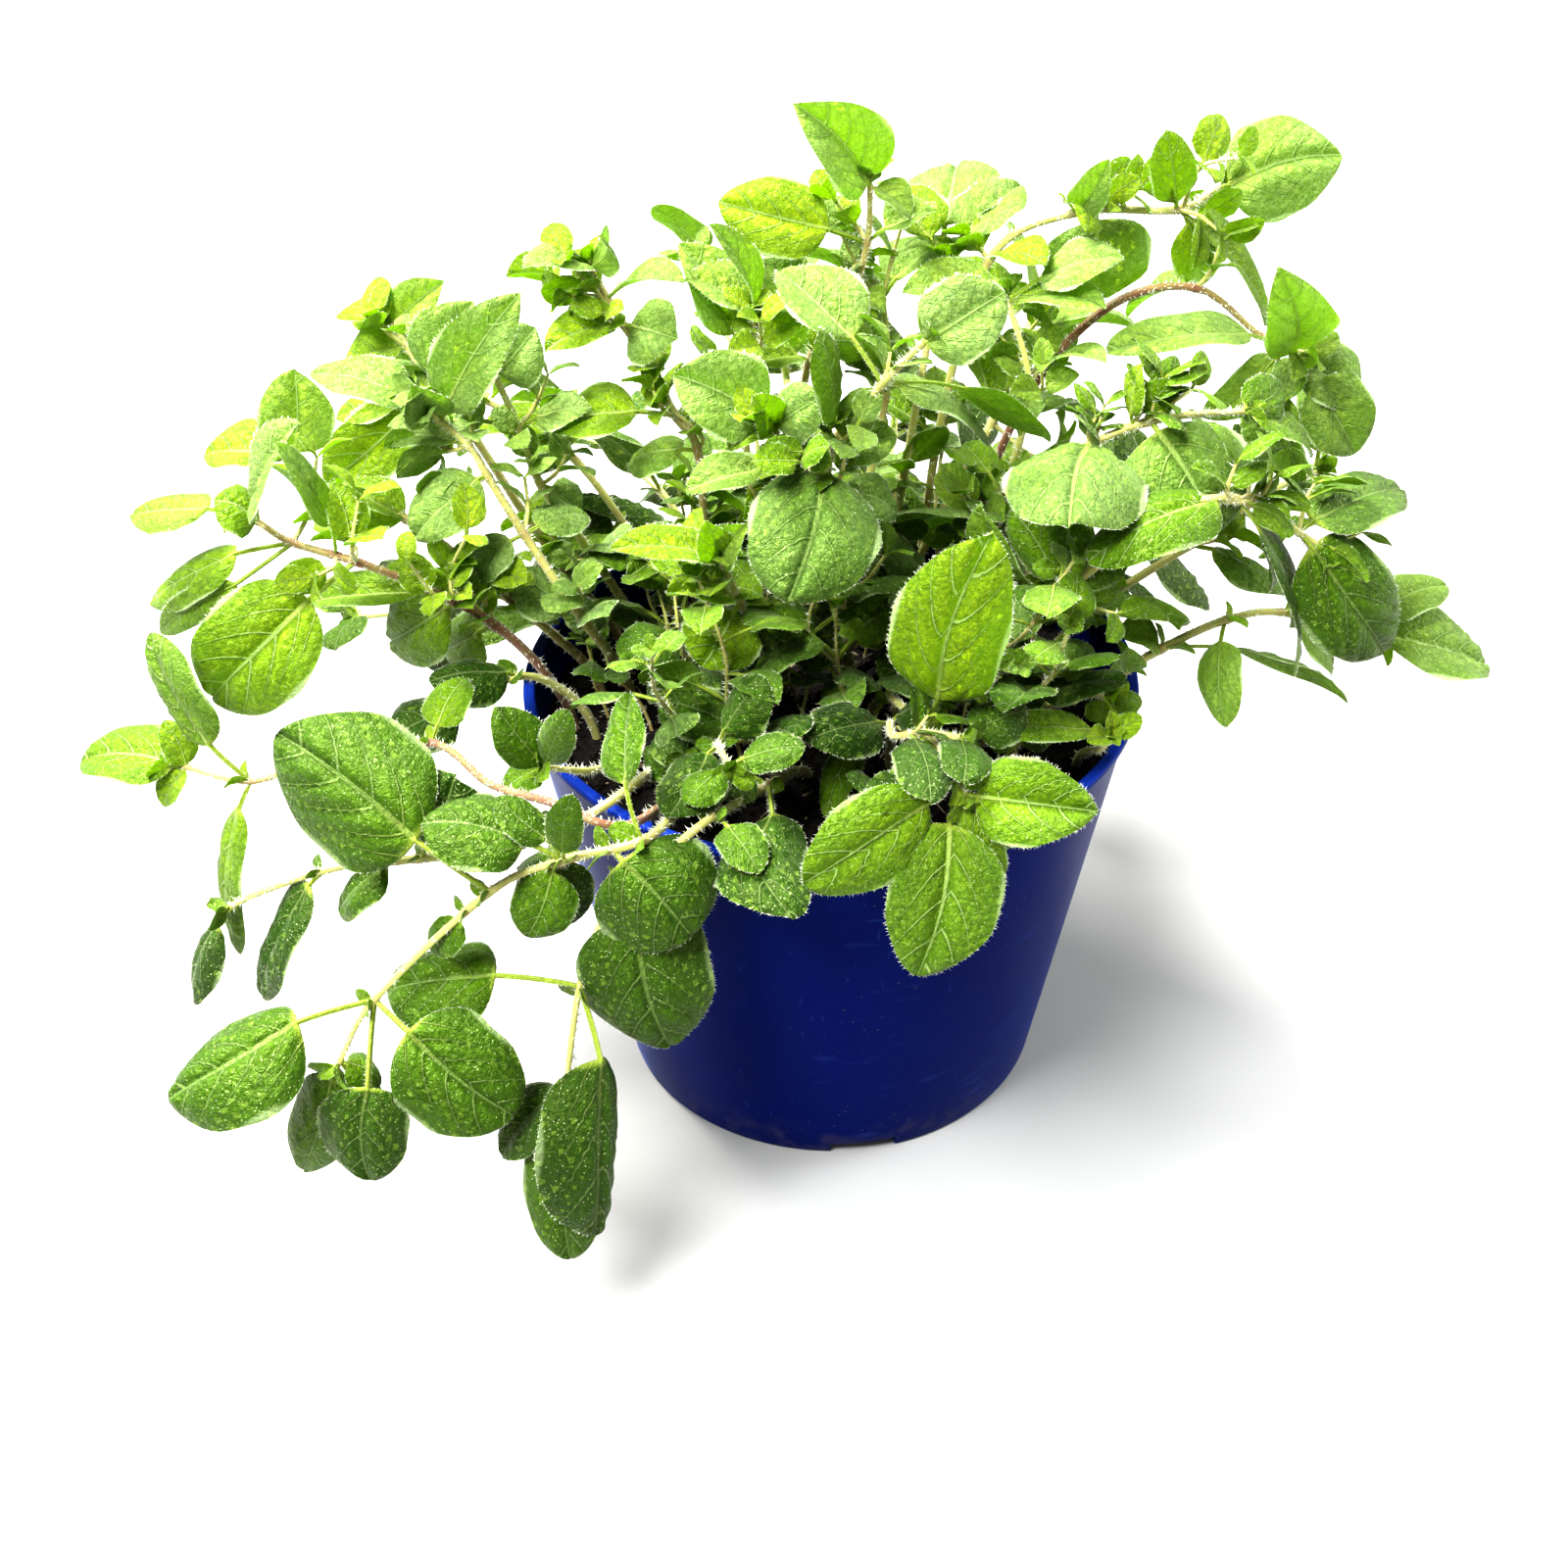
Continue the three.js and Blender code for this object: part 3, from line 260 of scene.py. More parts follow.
    [3, [725, 229, 194], 9, 0.05, "right"],
    [3, [698, 285, 180], 13, 0.1, "up"],
    [3, [846, 328, 174], 10, 0.1, "up"],
    [2.6, [822, 262, 182], 14, 0.15, "up"],
    [2.4, [694, 248, 184], 15, 0.2, "up"],
  ]],
  ["fan_left", "grey", [
    [650, 710, 88], [590, 625, 118], [535, 545, 135], [497, 485, 147], [478, 455, 152],
    [428, 412, 159],
  ], [
    [5, [316, 380, 164], 13, 0.08, "up"],
    [4.6, [528, 301, 184], 13, 0.15, "viewer"],
    [4.7, [421, 393, 168], 10, 0.05, "viewer"],
    [5, [483, 308, 178], 13, 0.3, "viewer"],
    [3, [421, 548, 138], 15, 0.1, "up"],
    [2, [600, 525, 134], 10, 0.2, "up"],
    [4, [395, 455, 148], 9, 0.15, "up"],
    [2, [480, 590, 122], 10, 0.2, "up"],
  ]],
  ["left_back", "grey", [
    [665, 665, 88], [600, 560, 120], [552, 495, 138], [530, 438, 150], [504, 381, 160],
  ], [
    [4, [545, 335, 170], 14, 0.1, "viewer"],
    [3, [601, 414, 156], 10, 0.3, "up"],
    [3, [400, 436, 148], 12, 0.3, "up"],
    [2, [595, 520, 134], 10, 0.2, "up"],
    [4, [440, 350, 164], 13, 0.1, "up"],
  ]],
  ["left_high", "lime", [
    [640, 660, 88], [560, 560, 115], [480, 440, 138], [430, 375, 150], [400, 330, 158],
  ], [
    [4, [453, 287, 168], 10, 0.05, "viewer"],
    [4, [342, 322, 158], 9, 0.05, "up"],
    [3.4, [350, 374, 150], 13, 0.1, "up"],
    [2.6, [331, 494, 126], 15, 0.15, "viewer"],
    [2.6, [342, 425, 138], 13, 0.2, "up"],
    [2, [560, 440, 140], 10, 0.2, "up"],
  ]],
  ["left_far", "lime", [
    [618, 700, 88], [520, 610, 118], [415, 530, 136], [340, 503, 138], [300, 468, 142],
  ], [
    [4, [300, 377, 160], 15, 0.1, "viewer"],
    [4, [208, 462, 142], 14, 0.25, "up"],
    [2, [342, 500, 142], 9, 0.05, "up"],
    [2, [319, 537, 134], 11, 0.05, "up"],
    [1, [470, 560, 130], 12, 0.2, "up"],
  ]],
  ["left_brown", "fresh", [
    [588, 738, 88], [540, 668, 110], [490, 628, 122], [430, 598, 132], [363, 573, 138],
    [299, 554, 141], [262, 532, 144],
  ], [
    [4, [213, 712, 112], 22, 0.27, "viewer"],
    [5, [151, 613, 122], 11, 0.3, "left"],
    [4.3, [283, 452, 164], 8, 0.3, "right"],
    [6, [301, 432, 168], 14, 0.1, "left"],
    [6, [221, 508, 150], 13, 0.05, "up"],
    [6, [133, 524, 140], 12, 0.35, "up"],
    [5, [162, 646, 116], 7, 0.35, "front"],
    [2.4, [396, 655, 110], 16, 0.1, "viewer"],
    [2.5, [318, 612, 122], 10, 0.2, "up"],
    [1.7, [450, 663, 106], 12, 0.2, "viewer"],
  ]],
  ["left_low", "dark", [[612, 748, 88], [575, 705, 100], [530, 690, 107], [470, 722, 104]], [
    [3, [392, 757, 100], 14, 0.1, "up"],
    [2, [440, 690, 112], 12, 0.15, "up"],
  ]],
  ["rim_left", "mature", [[650, 766, 88], [610, 785, 100], [555, 783, 107]], [
    [2, [507, 723, 122], 10, 0.1, "viewer"],
    [2, [580, 726, 126], 7, 0.15, "viewer"],
    [2, [512, 806, 104], 8, 0.1, "up"],
  ]],
  ["trail_brown", "fresh", [
    [715, 795, 88], [640, 842, 102], [560, 818, 106], [500, 800, 108], [440, 758, 113],
    [335, 772, 108], [256, 797, 101], [188, 782, 101],
  ], [
    [6, [150, 648, 128], 15, 0.3, "left"],
    [6, [242, 974, 70], 13, 0.15, "left"],
    [7, [81, 775, 96], 16, 0.08, "up"],
    [7, [168, 735, 110], 7, 0.05, "up"],
    [7, [165, 822, 94], 8, 0.05, "up"],
    [4, [475, 690, 118], 9, 0.2, "up"],
  ]],
  ["trail_low", "dark", [
    [668, 790, 88], [652, 797, 100], [600, 832, 99], [520, 866, 96], [430, 876, 94], [345, 885, 89],
    [275, 907, 83], [235, 925, 80],
  ], [
    [6, [163, 878, 80], 13, 0.25, "up"],
    [5.2, [265, 1016, 62], 15, 0.12, "left"],
    [7, [196, 1023, 60], 12, 0.2, "left"],
    [4.3, [342, 930, 80], 12, 0.1, "up"],
    [4, [462, 796, 112], 21, 0.2, "viewer"],
    [2.4, [578, 945, 80], 12, 0.3, "up"],
  ]],
  ["right_fan", "mature", [
    [1030, 700, 88], [1048, 570, 120], [1080, 480, 146], [1138, 442, 157], [1200, 425, 161],
    [1268, 420, 158],
  ], [
    [2.6, [1092, 531, 156], 26, 0.1, "up"],
    [3.6, [1241, 543, 146], 25, 0.1, "viewer"],
    [3.3, [1165, 372, 172], 8, 0.2, "left"],
    [3.5, [1196, 388, 170], 7, 0.2, "viewer"],
    [2.6, [1101, 424, 162], 7, 0.1, "up"],
    [5, [1310, 392, 160], 10, 0.1, "right"],
    [5, [1340, 462, 146], 11, 0.1, "up"],
  ]],
  ["right_inner", "fresh", [[1015, 722, 88], [1050, 655, 104], [1060, 597, 120]], [
    [2, [1108, 528, 138], 14, 0.1, "viewer"],
    [2, [1122, 602, 122], 12, 0.1, "up"],
    [1, [1022, 712, 100], 15, 0.1, "viewer"],
    [2, [1000, 515, 140], 13, 0.15, "left"],
  ]],
  ["centre_dark", "dark", [[955, 705, 88], [966, 645, 104], [958, 602, 118]], [
    [2, [846, 614, 122], 14, 0.02, "up"],
    [2, [884, 548, 132], 12, 0.1, "up"],
    [1, [900, 690, 104], 12, 0.2, "viewer"],
  ]],
  ["centre_small", "fresh", [[915, 738, 88], [912, 692, 98], [912, 656, 106]], [
    [2, [840, 650, 108], 10, 0.1, "up"],
    [2, [962, 707, 102], 9, 0.1, "viewer"],
  ]],
]

# Each is [name, tone, bearing that it leans to in degrees (90 is +Y), how far from the axis it is rooted,
# how far it reaches from its root, height of its tip, width of its widest leaf, count of leaf pairs].
FILLERS = [
  ["back_a", "fresh", 58, 24, 62, 146, 19, 4],
  ["back_b", "mature", 84, 38, 68, 122, 20, 4],
  ["back_c", "grey", 110, 16, 62, 156, 19, 4],
  ["back_d", "mature", 128, 42, 62, 110, 20, 4],
  ["back_e", "fresh", 150, 36, 66, 136, 18, 4],
  ["back_f", "mature", 38, 44, 68, 104, 19, 4],
  ["back_g", "dark", 102, 50, 50, 78, 17, 3],
  ["back_h", "fresh", 14, 46, 60, 130, 19, 4],
  ["back_i", "mature", 168, 46, 60, 96, 17, 3],
  ["back_j", "dark", 70, 50, 48, 74, 17, 3],
  ["middle_a", "grey", 78, 6, 30, 170, 17, 4],
  ["middle_b", "dark", 300, 24, 26, 110, 14, 3],
  ["middle_c", "dark", 250, 30, 26, 110, 13, 3],
]

# The pair of small leaves low on each stem that stands up.
UNDERGROWTH = {"at": 0.9, "width": 10, "turn": 20, "stands_above": 111}

# What the source tries, in turn, to keep the pieces clear of each other.
STEM_TRIES = [0, 4, -4, 8, -8, 12, -12, 16, -16, 20, -20]
LEAF_TRIES = [
    (0, 1), (3, 1), (-3, 1), (6, 1), (-6, 1), (10, 1), (-10, 1), (14, 0.95), (-14, 0.95),
    (0, 0.85), (5, 0.85), (-5, 0.85), (10, 0.85), (-10, 0.85),
    (0, 0.7), (5, 0.7), (-5, 0.7), (0, 0.55), (4, 0.55), (-4, 0.55),
]

# ---------------------------------------------------------------- vectors and curves
def unit(vector):
    return vector / np.linalg.norm(vector, axis=-1, keepdims=True)


def drawn(rng, span, shape=None):
    """Random numbers from the first of span up to the sum of both."""
    least, more = span
    return least + more * rng.random(shape)


def generator(seed):
    """The Park-Miller generator of the source, which gives the same draws."""
    state = seed

    def draw():
        nonlocal state
        state = state * 16807 % 2147483647
        return state / 2147483647

    return draw


def sight(place):
    """The point at a height on the line of sight through a column and row of the grid."""
    column, row, height = place
    across = (column - STATION["axis_column"]) / STATION["grid"]
    above = (STATION["axis_row"] - row) / STATION["grid"]
    ray = np.array([
        across, math.cos(TILT) + above * math.sin(TILT), -math.sin(TILT) + above * math.cos(TILT),
    ])
    return EYE + ray * (height - EYE[2]) / ray[2]


def point_on(points, at):
    """Points of the uniform Catmull-Rom curve through the places, at places counted from the soil."""
    points = np.asarray(points, float)
    at = np.clip(np.atleast_1d(at).astype(float), 0, len(points) - 1)
    padded = np.vstack([2 * points[0] - points[1], points, 2 * points[-1] - points[-2]])
    span = np.minimum(np.floor(at).astype(int), len(points) - 2)
    t = (at - span)[:, None]
    p0, p1, p2, p3 = (padded[span + k] for k in range(4))
    t0, t1 = (p2 - p0) / 2, (p3 - p1) / 2
    return p1 + t0 * t + (-3 * p1 + 3 * p2 - 2 * t0 - t1) * t**2 + (2 * p1 - 2 * p2 + t0 + t1) * t**3


HEADING_STEP = 0.1


def heading(points, at):
    """The direction of the curve at a place, towards its tip."""
    before, after = max(at - HEADING_STEP, 0), min(at + HEADING_STEP, len(points) - 1)
    return unit(point_on(points, after)[0] - point_on(points, before)[0])


def away_from_eye(point):
    return unit(point - EYE)


# ---------------------------------------------------------------- the plan, grown as the source grows it
STEM_SEEDS, FILLER_SEEDS = (11, 29), (101, 37)  # the first seed, and the step from each to the next
PAIR = {"turn_spread": 0.5, "forward": 0.35, "length": 1.45, "spread": 0.3, "outward_face": 0.45}
FILLER = {"bend": 14, "turns": (10, 62), "last_leaves": 0.62, "narrowing": 0.1, "leafless_spans": 1}
# How a filler's stem rises: shares of its reach, of its bend and of its rise, and the least rise.
FILLER_PATH = [(0.18, 0.4, 0.42, 14), (0.5, 1, 0.78, 17), (0.8, 0.6, 0.98, 10)]
BLADE_CORNERS = [(0.27, 1.02), (0.7, 0.8), (1, 0)]  # shares of a plate's length and of its width
FIRST_CORNERS = 12  # corners of the rings that are hidden in the soil
SAME_POINT = 0.05  # mm between a corner and the vertex that it is taken for
SURE_SHARE = 0.4  # share of a leaf's corners that are found when the source kept the leaf


def root_at(point):
    keep = min(1, STEM["root_circle"] / math.hypot(point[0], point[1]))
    return np.array([point[0] * keep, point[1] * keep, SOIL["top"] + STEM["rise"]])


def leaf_pair(points, place, width, turn, draw, out):
    """Two opposite leaves at a place on a stem, turned about it by an angle in degrees."""
    node = point_on(points, place)[0]
    along = heading(points, place)
    level = unit(np.cross([0, 0, 1], along))
    upward = np.cross(along, level)
    angle = math.radians(turn) + (draw() - 0.5) * PAIR["turn_spread"]
    pair = []
    for flip in (1, -1):
        wide = width * (0.85 + PAIR["spread"] * draw())
        direction = level * flip * math.cos(angle) + upward * flip * math.sin(angle)
        direction = direction + along * (PAIR["forward"] + PAIR["forward"] * draw())
        direction[2] += LEAF["lift"]
        tip = node + unit(direction) * wide * (PAIR["length"] + PAIR["spread"] * draw())
        face = np.array([0, 0, 1]) + PAIR["outward_face"] * out
        pair.append({"at": place, "tip": tip, "width": wide, "stalk": LEAF["short_stalk"], "face": face})
    return pair


def planned_stem(entry, seed):
    name, tone, places, leaves = entry
    draw = generator(seed)
    root, *rest = [sight(place) for place in places]
    points = [root_at(root), *rest]
    outward = unit(root * [1, 1, 0])
    last = len(places) - 1 - STEM["tip_inset"]
    plan = [
        {"at": min(at, last), "tip": sight(tip), "width": width, "stalk": stalk,
         "face": np.array(FACE[face], float)}
        for at, tip, width, stalk, face in leaves
    ]
    low = UNDERGROWTH
    if points[1][2] > low["stands_above"]:
        plan += leaf_pair(points, low["at"], low["width"], low["turn"], draw, outward)
    return {"name": name, "tone": tone, "points": points, "leaves": plan}


def filler_stem(entry, seed):
    name, tone, bearing, rooted, reach, height, width, pairs = entry
    draw = generator(seed)
    out = np.array([math.cos(math.radians(bearing)), math.sin(math.radians(bearing)), 0])
    around = np.array([-out[1], out[0], 0])
    rise = height - SOIL["top"]
    bend = (draw() - 0.5) * FILLER["bend"]

    def at(outward, sideways, z):
        return out * (rooted + outward) + around * sideways + [0, 0, z]

    points = [
        at(0, 0, SOIL["top"] + STEM["rise"]),
        *(at(reach * outward, bend * sideways, SOIL["top"] + max(rise * upward, least))
          for outward, sideways, upward, least in FILLER_PATH),
        at(reach, 0, height),
    ]
    plan = []
    for i in range(pairs):
        leafy_spans = len(FILLER_PATH) + 1 - FILLER["leafless_spans"]
        place = FILLER["leafless_spans"] + i * (leafy_spans - STEM["tip_inset"]) / (pairs - 1)
        grown = FILLER["last_leaves"] if i == pairs - 1 else 1 - FILLER["narrowing"] * i
        plan += leaf_pair(points, place, width * grown, FILLER["turns"][i % 2], draw, out)
    return {"name": name, "tone": tone, "points": points, "leaves": plan}


def slid(points, slide):
    return np.array([p + away_from_eye(p) * slide * min(1, i / 2) for i, p in enumerate(points)])


def stem_corners(points):
    """The corners of the source's square stem, all but those of the first rings."""
    rings = [points[0] * [1, 1, 0] + [0, 0, SOIL["top"] - SOIL["buried"]]]
    steps = (len(points) - 1) * STEM["rings_per_span"]
    rings += list(point_on(points, np.arange(steps + 1) / STEM["rings_per_span"]))
    side = np.array([1.0, 0, 0])
    corners = []
    for i, ring in enumerate(rings):
        tangent = np.array([0, 0, 1.0]) if i < 2 else unit(rings[min(i + 1, len(rings) - 1)] - rings[i - 1])
        side = unit(side - tangent * side.dot(tangent))
        other = np.cross(tangent, side)
        radius = STEM["root"] + (STEM["tip"] - STEM["root"]) * i / (len(rings) - 1)
        for k in range(4):
            angle = (k + 0.5) * math.pi / 2
            corners.append(ring + side * radius * math.cos(angle) + other * radius * math.sin(angle))
    return np.array(corners[FIRST_CORNERS:])


def leaf_frame(leaf):
    """Root, the vector to the tip, and the unit normal and crosswise vectors of a leaf."""
    along = leaf["tip"] - leaf["root"]
    direction = unit(along)
    face = leaf["face"]
    normal = unit(face - direction * face.dot(direction))
    return leaf["root"], along, normal, np.cross(normal, direction)


def leaf_corners(leaf):
    """The corners of the source's leaf plate that lie on its blade."""
    root, along, normal, across = leaf_frame(leaf)
    length = np.linalg.norm(along)
    corners = []
    for share, wide in BLADE_CORNERS:
        s, half = leaf["stalk"] + share * (1 - leaf["stalk"]), wide * leaf["width"] / 2
        for v in (1, -1):
            spine = root + along * s + across * v * half
            lift = LEAF["arch"] * 4 * s * (1 - s) * length - LEAF["fold"] * half
            corners += [spine + normal * (lift + t * LEAF["thickness"] / 2) for t in (1, -1)]
    return np.array(corners)


def matches(corners, vertices):
    """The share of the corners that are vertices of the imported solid."""
    apart = np.linalg.norm(corners[:, None] - vertices[None], axis=2).min(axis=1)
    return (apart < SAME_POINT).mean()


def tried_leaf(leaf, points, slide, size):
    root = point_on(points, leaf["at"])[0]
    tip = root + (leaf["tip"] + away_from_eye(leaf["tip"]) * slide - root) * size
    return {**leaf, "root": root, "tip": tip, "width": leaf["width"] * size}


def as_packed(plan, vertices):
    """The stem and the leaves where the source put them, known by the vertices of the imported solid."""
    slide = max(STEM_TRIES, key=lambda s: matches(stem_corners(slid(plan["points"], s)), vertices))
    points = slid(plan["points"], slide)
    leaves = []
    for leaf in plan["leaves"]:
        moved = {**leaf, "tip": leaf["tip"] + away_from_eye(leaf["tip"]) * slide}
        tries = [tried_leaf(moved, points, *variation) for variation in LEAF_TRIES]
        shares = [matches(leaf_corners(tried), vertices) for tried in tries]
        if max(shares) > SURE_SHARE:
            leaves.append(tries[int(np.argmax(shares))])
    return {**plan, "points": points, "leaves": leaves}


def grown_plants():
    plans = []
    kinds = ((planned_stem, STEMS, STEM_SEEDS), (filler_stem, FILLERS, FILLER_SEEDS))
    for grow, entries, (first, step) in kinds:
        plans += [grow(entry, first + step * i) for i, entry in enumerate(entries)]
    grown = []
    for plan in plans:
        if plan["name"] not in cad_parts:
            continue
        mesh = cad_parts[plan["name"]].data
        vertices = np.empty(len(mesh.vertices) * 3, np.float32)
        mesh.vertices.foreach_get("co", vertices)
        grown.append(as_packed(plan, vertices.reshape(-1, 3) / MM))
    return grown


# ---------------------------------------------------------------- meshes
class Body:
    """The points, faces, marks and material slots of one piece, gathered part by part. Points are in mm."""

    def __init__(self):
        self.points, self.place, self.look = [], [], []
        self.faces, self.slots = [], []
        self.count = 0
        self.hair_draws = np.random.default_rng(SEEDS["hairs"])

    def add(self, points, faces, slot, place=None, look=None):
        """faces is an array of rows of 3 or 4 corners. place and look hold three numbers for each point."""
        points = np.asarray(points, float).reshape(-1, 3)
        blank = np.zeros((len(points), 3))
        self.points.append(points)
        self.place.append(blank if place is None else np.broadcast_to(place, points.shape))
        self.look.append(blank if look is None else np.broadcast_to(look, points.shape))
        self.faces.append(np.asarray(faces, int) + self.count)
        self.slots.append(np.full(len(faces), slot, int))
        self.count += len(points)

    def add_cap(self, ring, slot, place=None, look=None):
        """A flat end over a ring of points."""
        self.add(ring, np.array([[0, k, k + 1] for k in range(1, len(ring) - 1)]), slot, place, look)

    def make(self, name, materials):
        mesh = bpy.data.meshes.new(name)
        points = np.vstack(self.points) * MM
        sizes = np.concatenate([np.full(len(f), f.shape[1], int) for f in self.faces])
        corners = np.concatenate([f.ravel() for f in self.faces])
        starts = np.concatenate([[0], np.cumsum(sizes)[:-1]])
        mesh.vertices.add(len(points))
        mesh.vertices.foreach_set("co", points.ravel())
        mesh.loops.add(len(corners))
        mesh.loops.foreach_set("vertex_index", corners.astype(np.int32))
        mesh.polygons.add(len(sizes))
        mesh.polygons.foreach_set("loop_start", starts.astype(np.int32))
        mesh.polygons.foreach_set("material_index", np.concatenate(self.slots).astype(np.int32))
        mesh.update(calc_edges=True)
        mesh.shade_smooth()
        for title, values in (("place", self.place), ("look", self.look)):
            mark = mesh.attributes.new(title, "FLOAT_VECTOR", "POINT")
            mark.data.foreach_set("vector", np.vstack(values).ravel().astype(np.float32))
        for material in materials:
            mesh.materials.append(material)
        obj = bpy.data.objects.new(name, mesh)
        bpy.context.scene.collection.objects.link(obj)
        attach(obj, "root")
        return obj


def grid_faces(rows, columns, wrapped=False, flip=False):
    """The quads of a sheet of rows of points. wrapped joins each row's end to its start."""
    across = columns if wrapped else columns - 1
    i, j = np.meshgrid(np.arange(rows - 1), np.arange(across), indexing="ij")
    k = (j + 1) % columns
    near, far = i * columns, (i + 1) * columns
    quads = np.stack([near + j, near + k, far + k, far + j], axis=-1).reshape(-1, 4)
    return quads[:, ::-1] if flip else quads


def angles(count):
    """The bearings of evenly spaced points round a ring."""
    return np.arange(count) / count * FULL_TURN


def frames_along(path):
    """Tangents and two crosswise directions along a path, carried along it without twist."""
    tangents = unit(np.gradient(path, axis=0))
    side = np.array([1.0, 0, 0]) if abs(tangents[0][0]) < 0.9 else np.array([0, 1.0, 0])
    sides = []
    for tangent in tangents:
        side = unit(side - tangent * side.dot(tangent))
        sides.append(side)
    sides = np.array(sides)
    return tangents, sides, np.cross(tangents, sides)


# ---------------------------------------------------------------- leaves
GREEN, HAIR, BARK = 0, 1, 2  # the material slots of a leafy stem
CELL = {"leaf": 1.18, "bud": 1.35}  # size of the squares of a blade's mesh
HAIRS = {  # how many stand in a mm of a stem or of a leaf's margin, the span of their lengths, and how thick
    "stem": (5.6, (0.6, 0.9), 0.085), "leaf": (2.8, (0.30, 0.55), 0.036), "bud": (1.0, (0.30, 0.55), 0.036),
}
BLADE = {
    "rows": (8, 38), "half_columns": (3, 14), "stalk_row": 1.6, "crowding": 1.12,
    "half_sheet": 0.13,  # half the thickness of a blade at its midrib
    "acute": 0.14, "acute_in_youth": 0.48, "acute_from": 12,
    "broader": 1.05, "widest_at": 0.42,
    "ripple": 0.02, "ripples": (14, 4),
    "base": 0.12,  # share of a blade's length over which it widens from its stalk
    "fold_in_youth": 0.60, "fold_spread": 0.20,
    "curl": 0.16, "droop": 0.22, "spread": 0.1, "droops_from": 0.6,
    "wave": 0.09, "waves": 1.2, "sway": 0.035, "twist": 0.35,
}
VEINS = {"pairs": 4.2, "slant": 0.22, "bow": 0.48, "crowding": 0.85}
RELIEF = {"puff": 1.35, "groove": 0.65, "beside_rib": 1.5, "full_size": 16, "most": 1.35}
UNDERSIDE = 2  # what the underside adds to the third number of a point's place


def outline(share, widest, acute):
    """Half the width of a blade, beside its widest, at a share of its length: rounded at its base. acute is 0
    for a rounded tip and 1 for a pointed one."""
    before = np.clip((widest - share) / widest, 0, 1)
    after = np.clip((share - widest) / (1 - widest), 0, 1)
    behind, ahead = (1 - before**2.5) ** 0.5, (1 - after ** (2.1 - 0.3 * acute)) ** (0.5 + 0.45 * acute)
    return np.where(share < widest, behind, ahead)


def blade_grid(length, width, stalk, cell):
    """Shares of a leaf's length and of its blade's length for its rows, and places across it from -1 to 1."""
    rows = int(np.clip(length * (1 - stalk) / cell, *BLADE["rows"]))
    columns = 2 * int(np.clip(width / cell / 2, *BLADE["half_columns"])) + 1
    stalk_rows = max(2, int(stalk * length / BLADE["stalk_row"]))
    share = (1 - np.cos(np.linspace(0, np.pi, rows))) / 2
    s = np.concatenate([np.linspace(0, stalk, stalk_rows + 1)[:-1], stalk + (1 - stalk) * share])
    v = np.linspace(-1, 1, columns)
    return s, np.clip((s - stalk) / (1 - stalk), 0, 1), np.sign(v) * np.abs(v) ** BLADE["crowding"]


def half_widths(b, width, stalk_half, youth, rng):
    """Half the width of a leaf at each of its rows."""
    pointed = BLADE["acute_in_youth"] * youth * min(1, width / BLADE["acute_from"])
    acute = np.clip(BLADE["acute"] + pointed + BLADE["acute"] * rng.normal(), 0, 1)
    widest = BLADE["widest_at"] - 0.08 * acute + 0.04 * rng.random()
    blade_half = width / 2 * BLADE["broader"] * outline(b, widest, acute)
    fewest, more = BLADE["ripples"]
    blade_half *= 1 + BLADE["ripple"] * np.sin(b * (fewest + more * rng.random()) + 6 * rng.random())
    half = np.where(b > 0, np.maximum(blade_half, stalk_half * (1 - b) ** 2), stalk_half)
    half[-1] = 0.05
    return half


def blade_relief(across, v, veins, half, size, in_blade):
    """Height of the quilted upper side: it swells between the veins, sinks along them, and is level at the
    margin."""
    between = np.abs(veins - np.round(veins))
    beside_rib = np.abs(across) * half
    puff = (np.clip(between / 0.5, 0, 1) ** 0.6) * (1 - np.exp(-((beside_rib / RELIEF["beside_rib"]) ** 2)))
    groove = np.exp(-((beside_rib / (0.45 * size + 0.15)) ** 2))
    return size * in_blade * (RELIEF["puff"] * puff * (1 - np.abs(v) ** 4) - RELIEF["groove"] * groove)


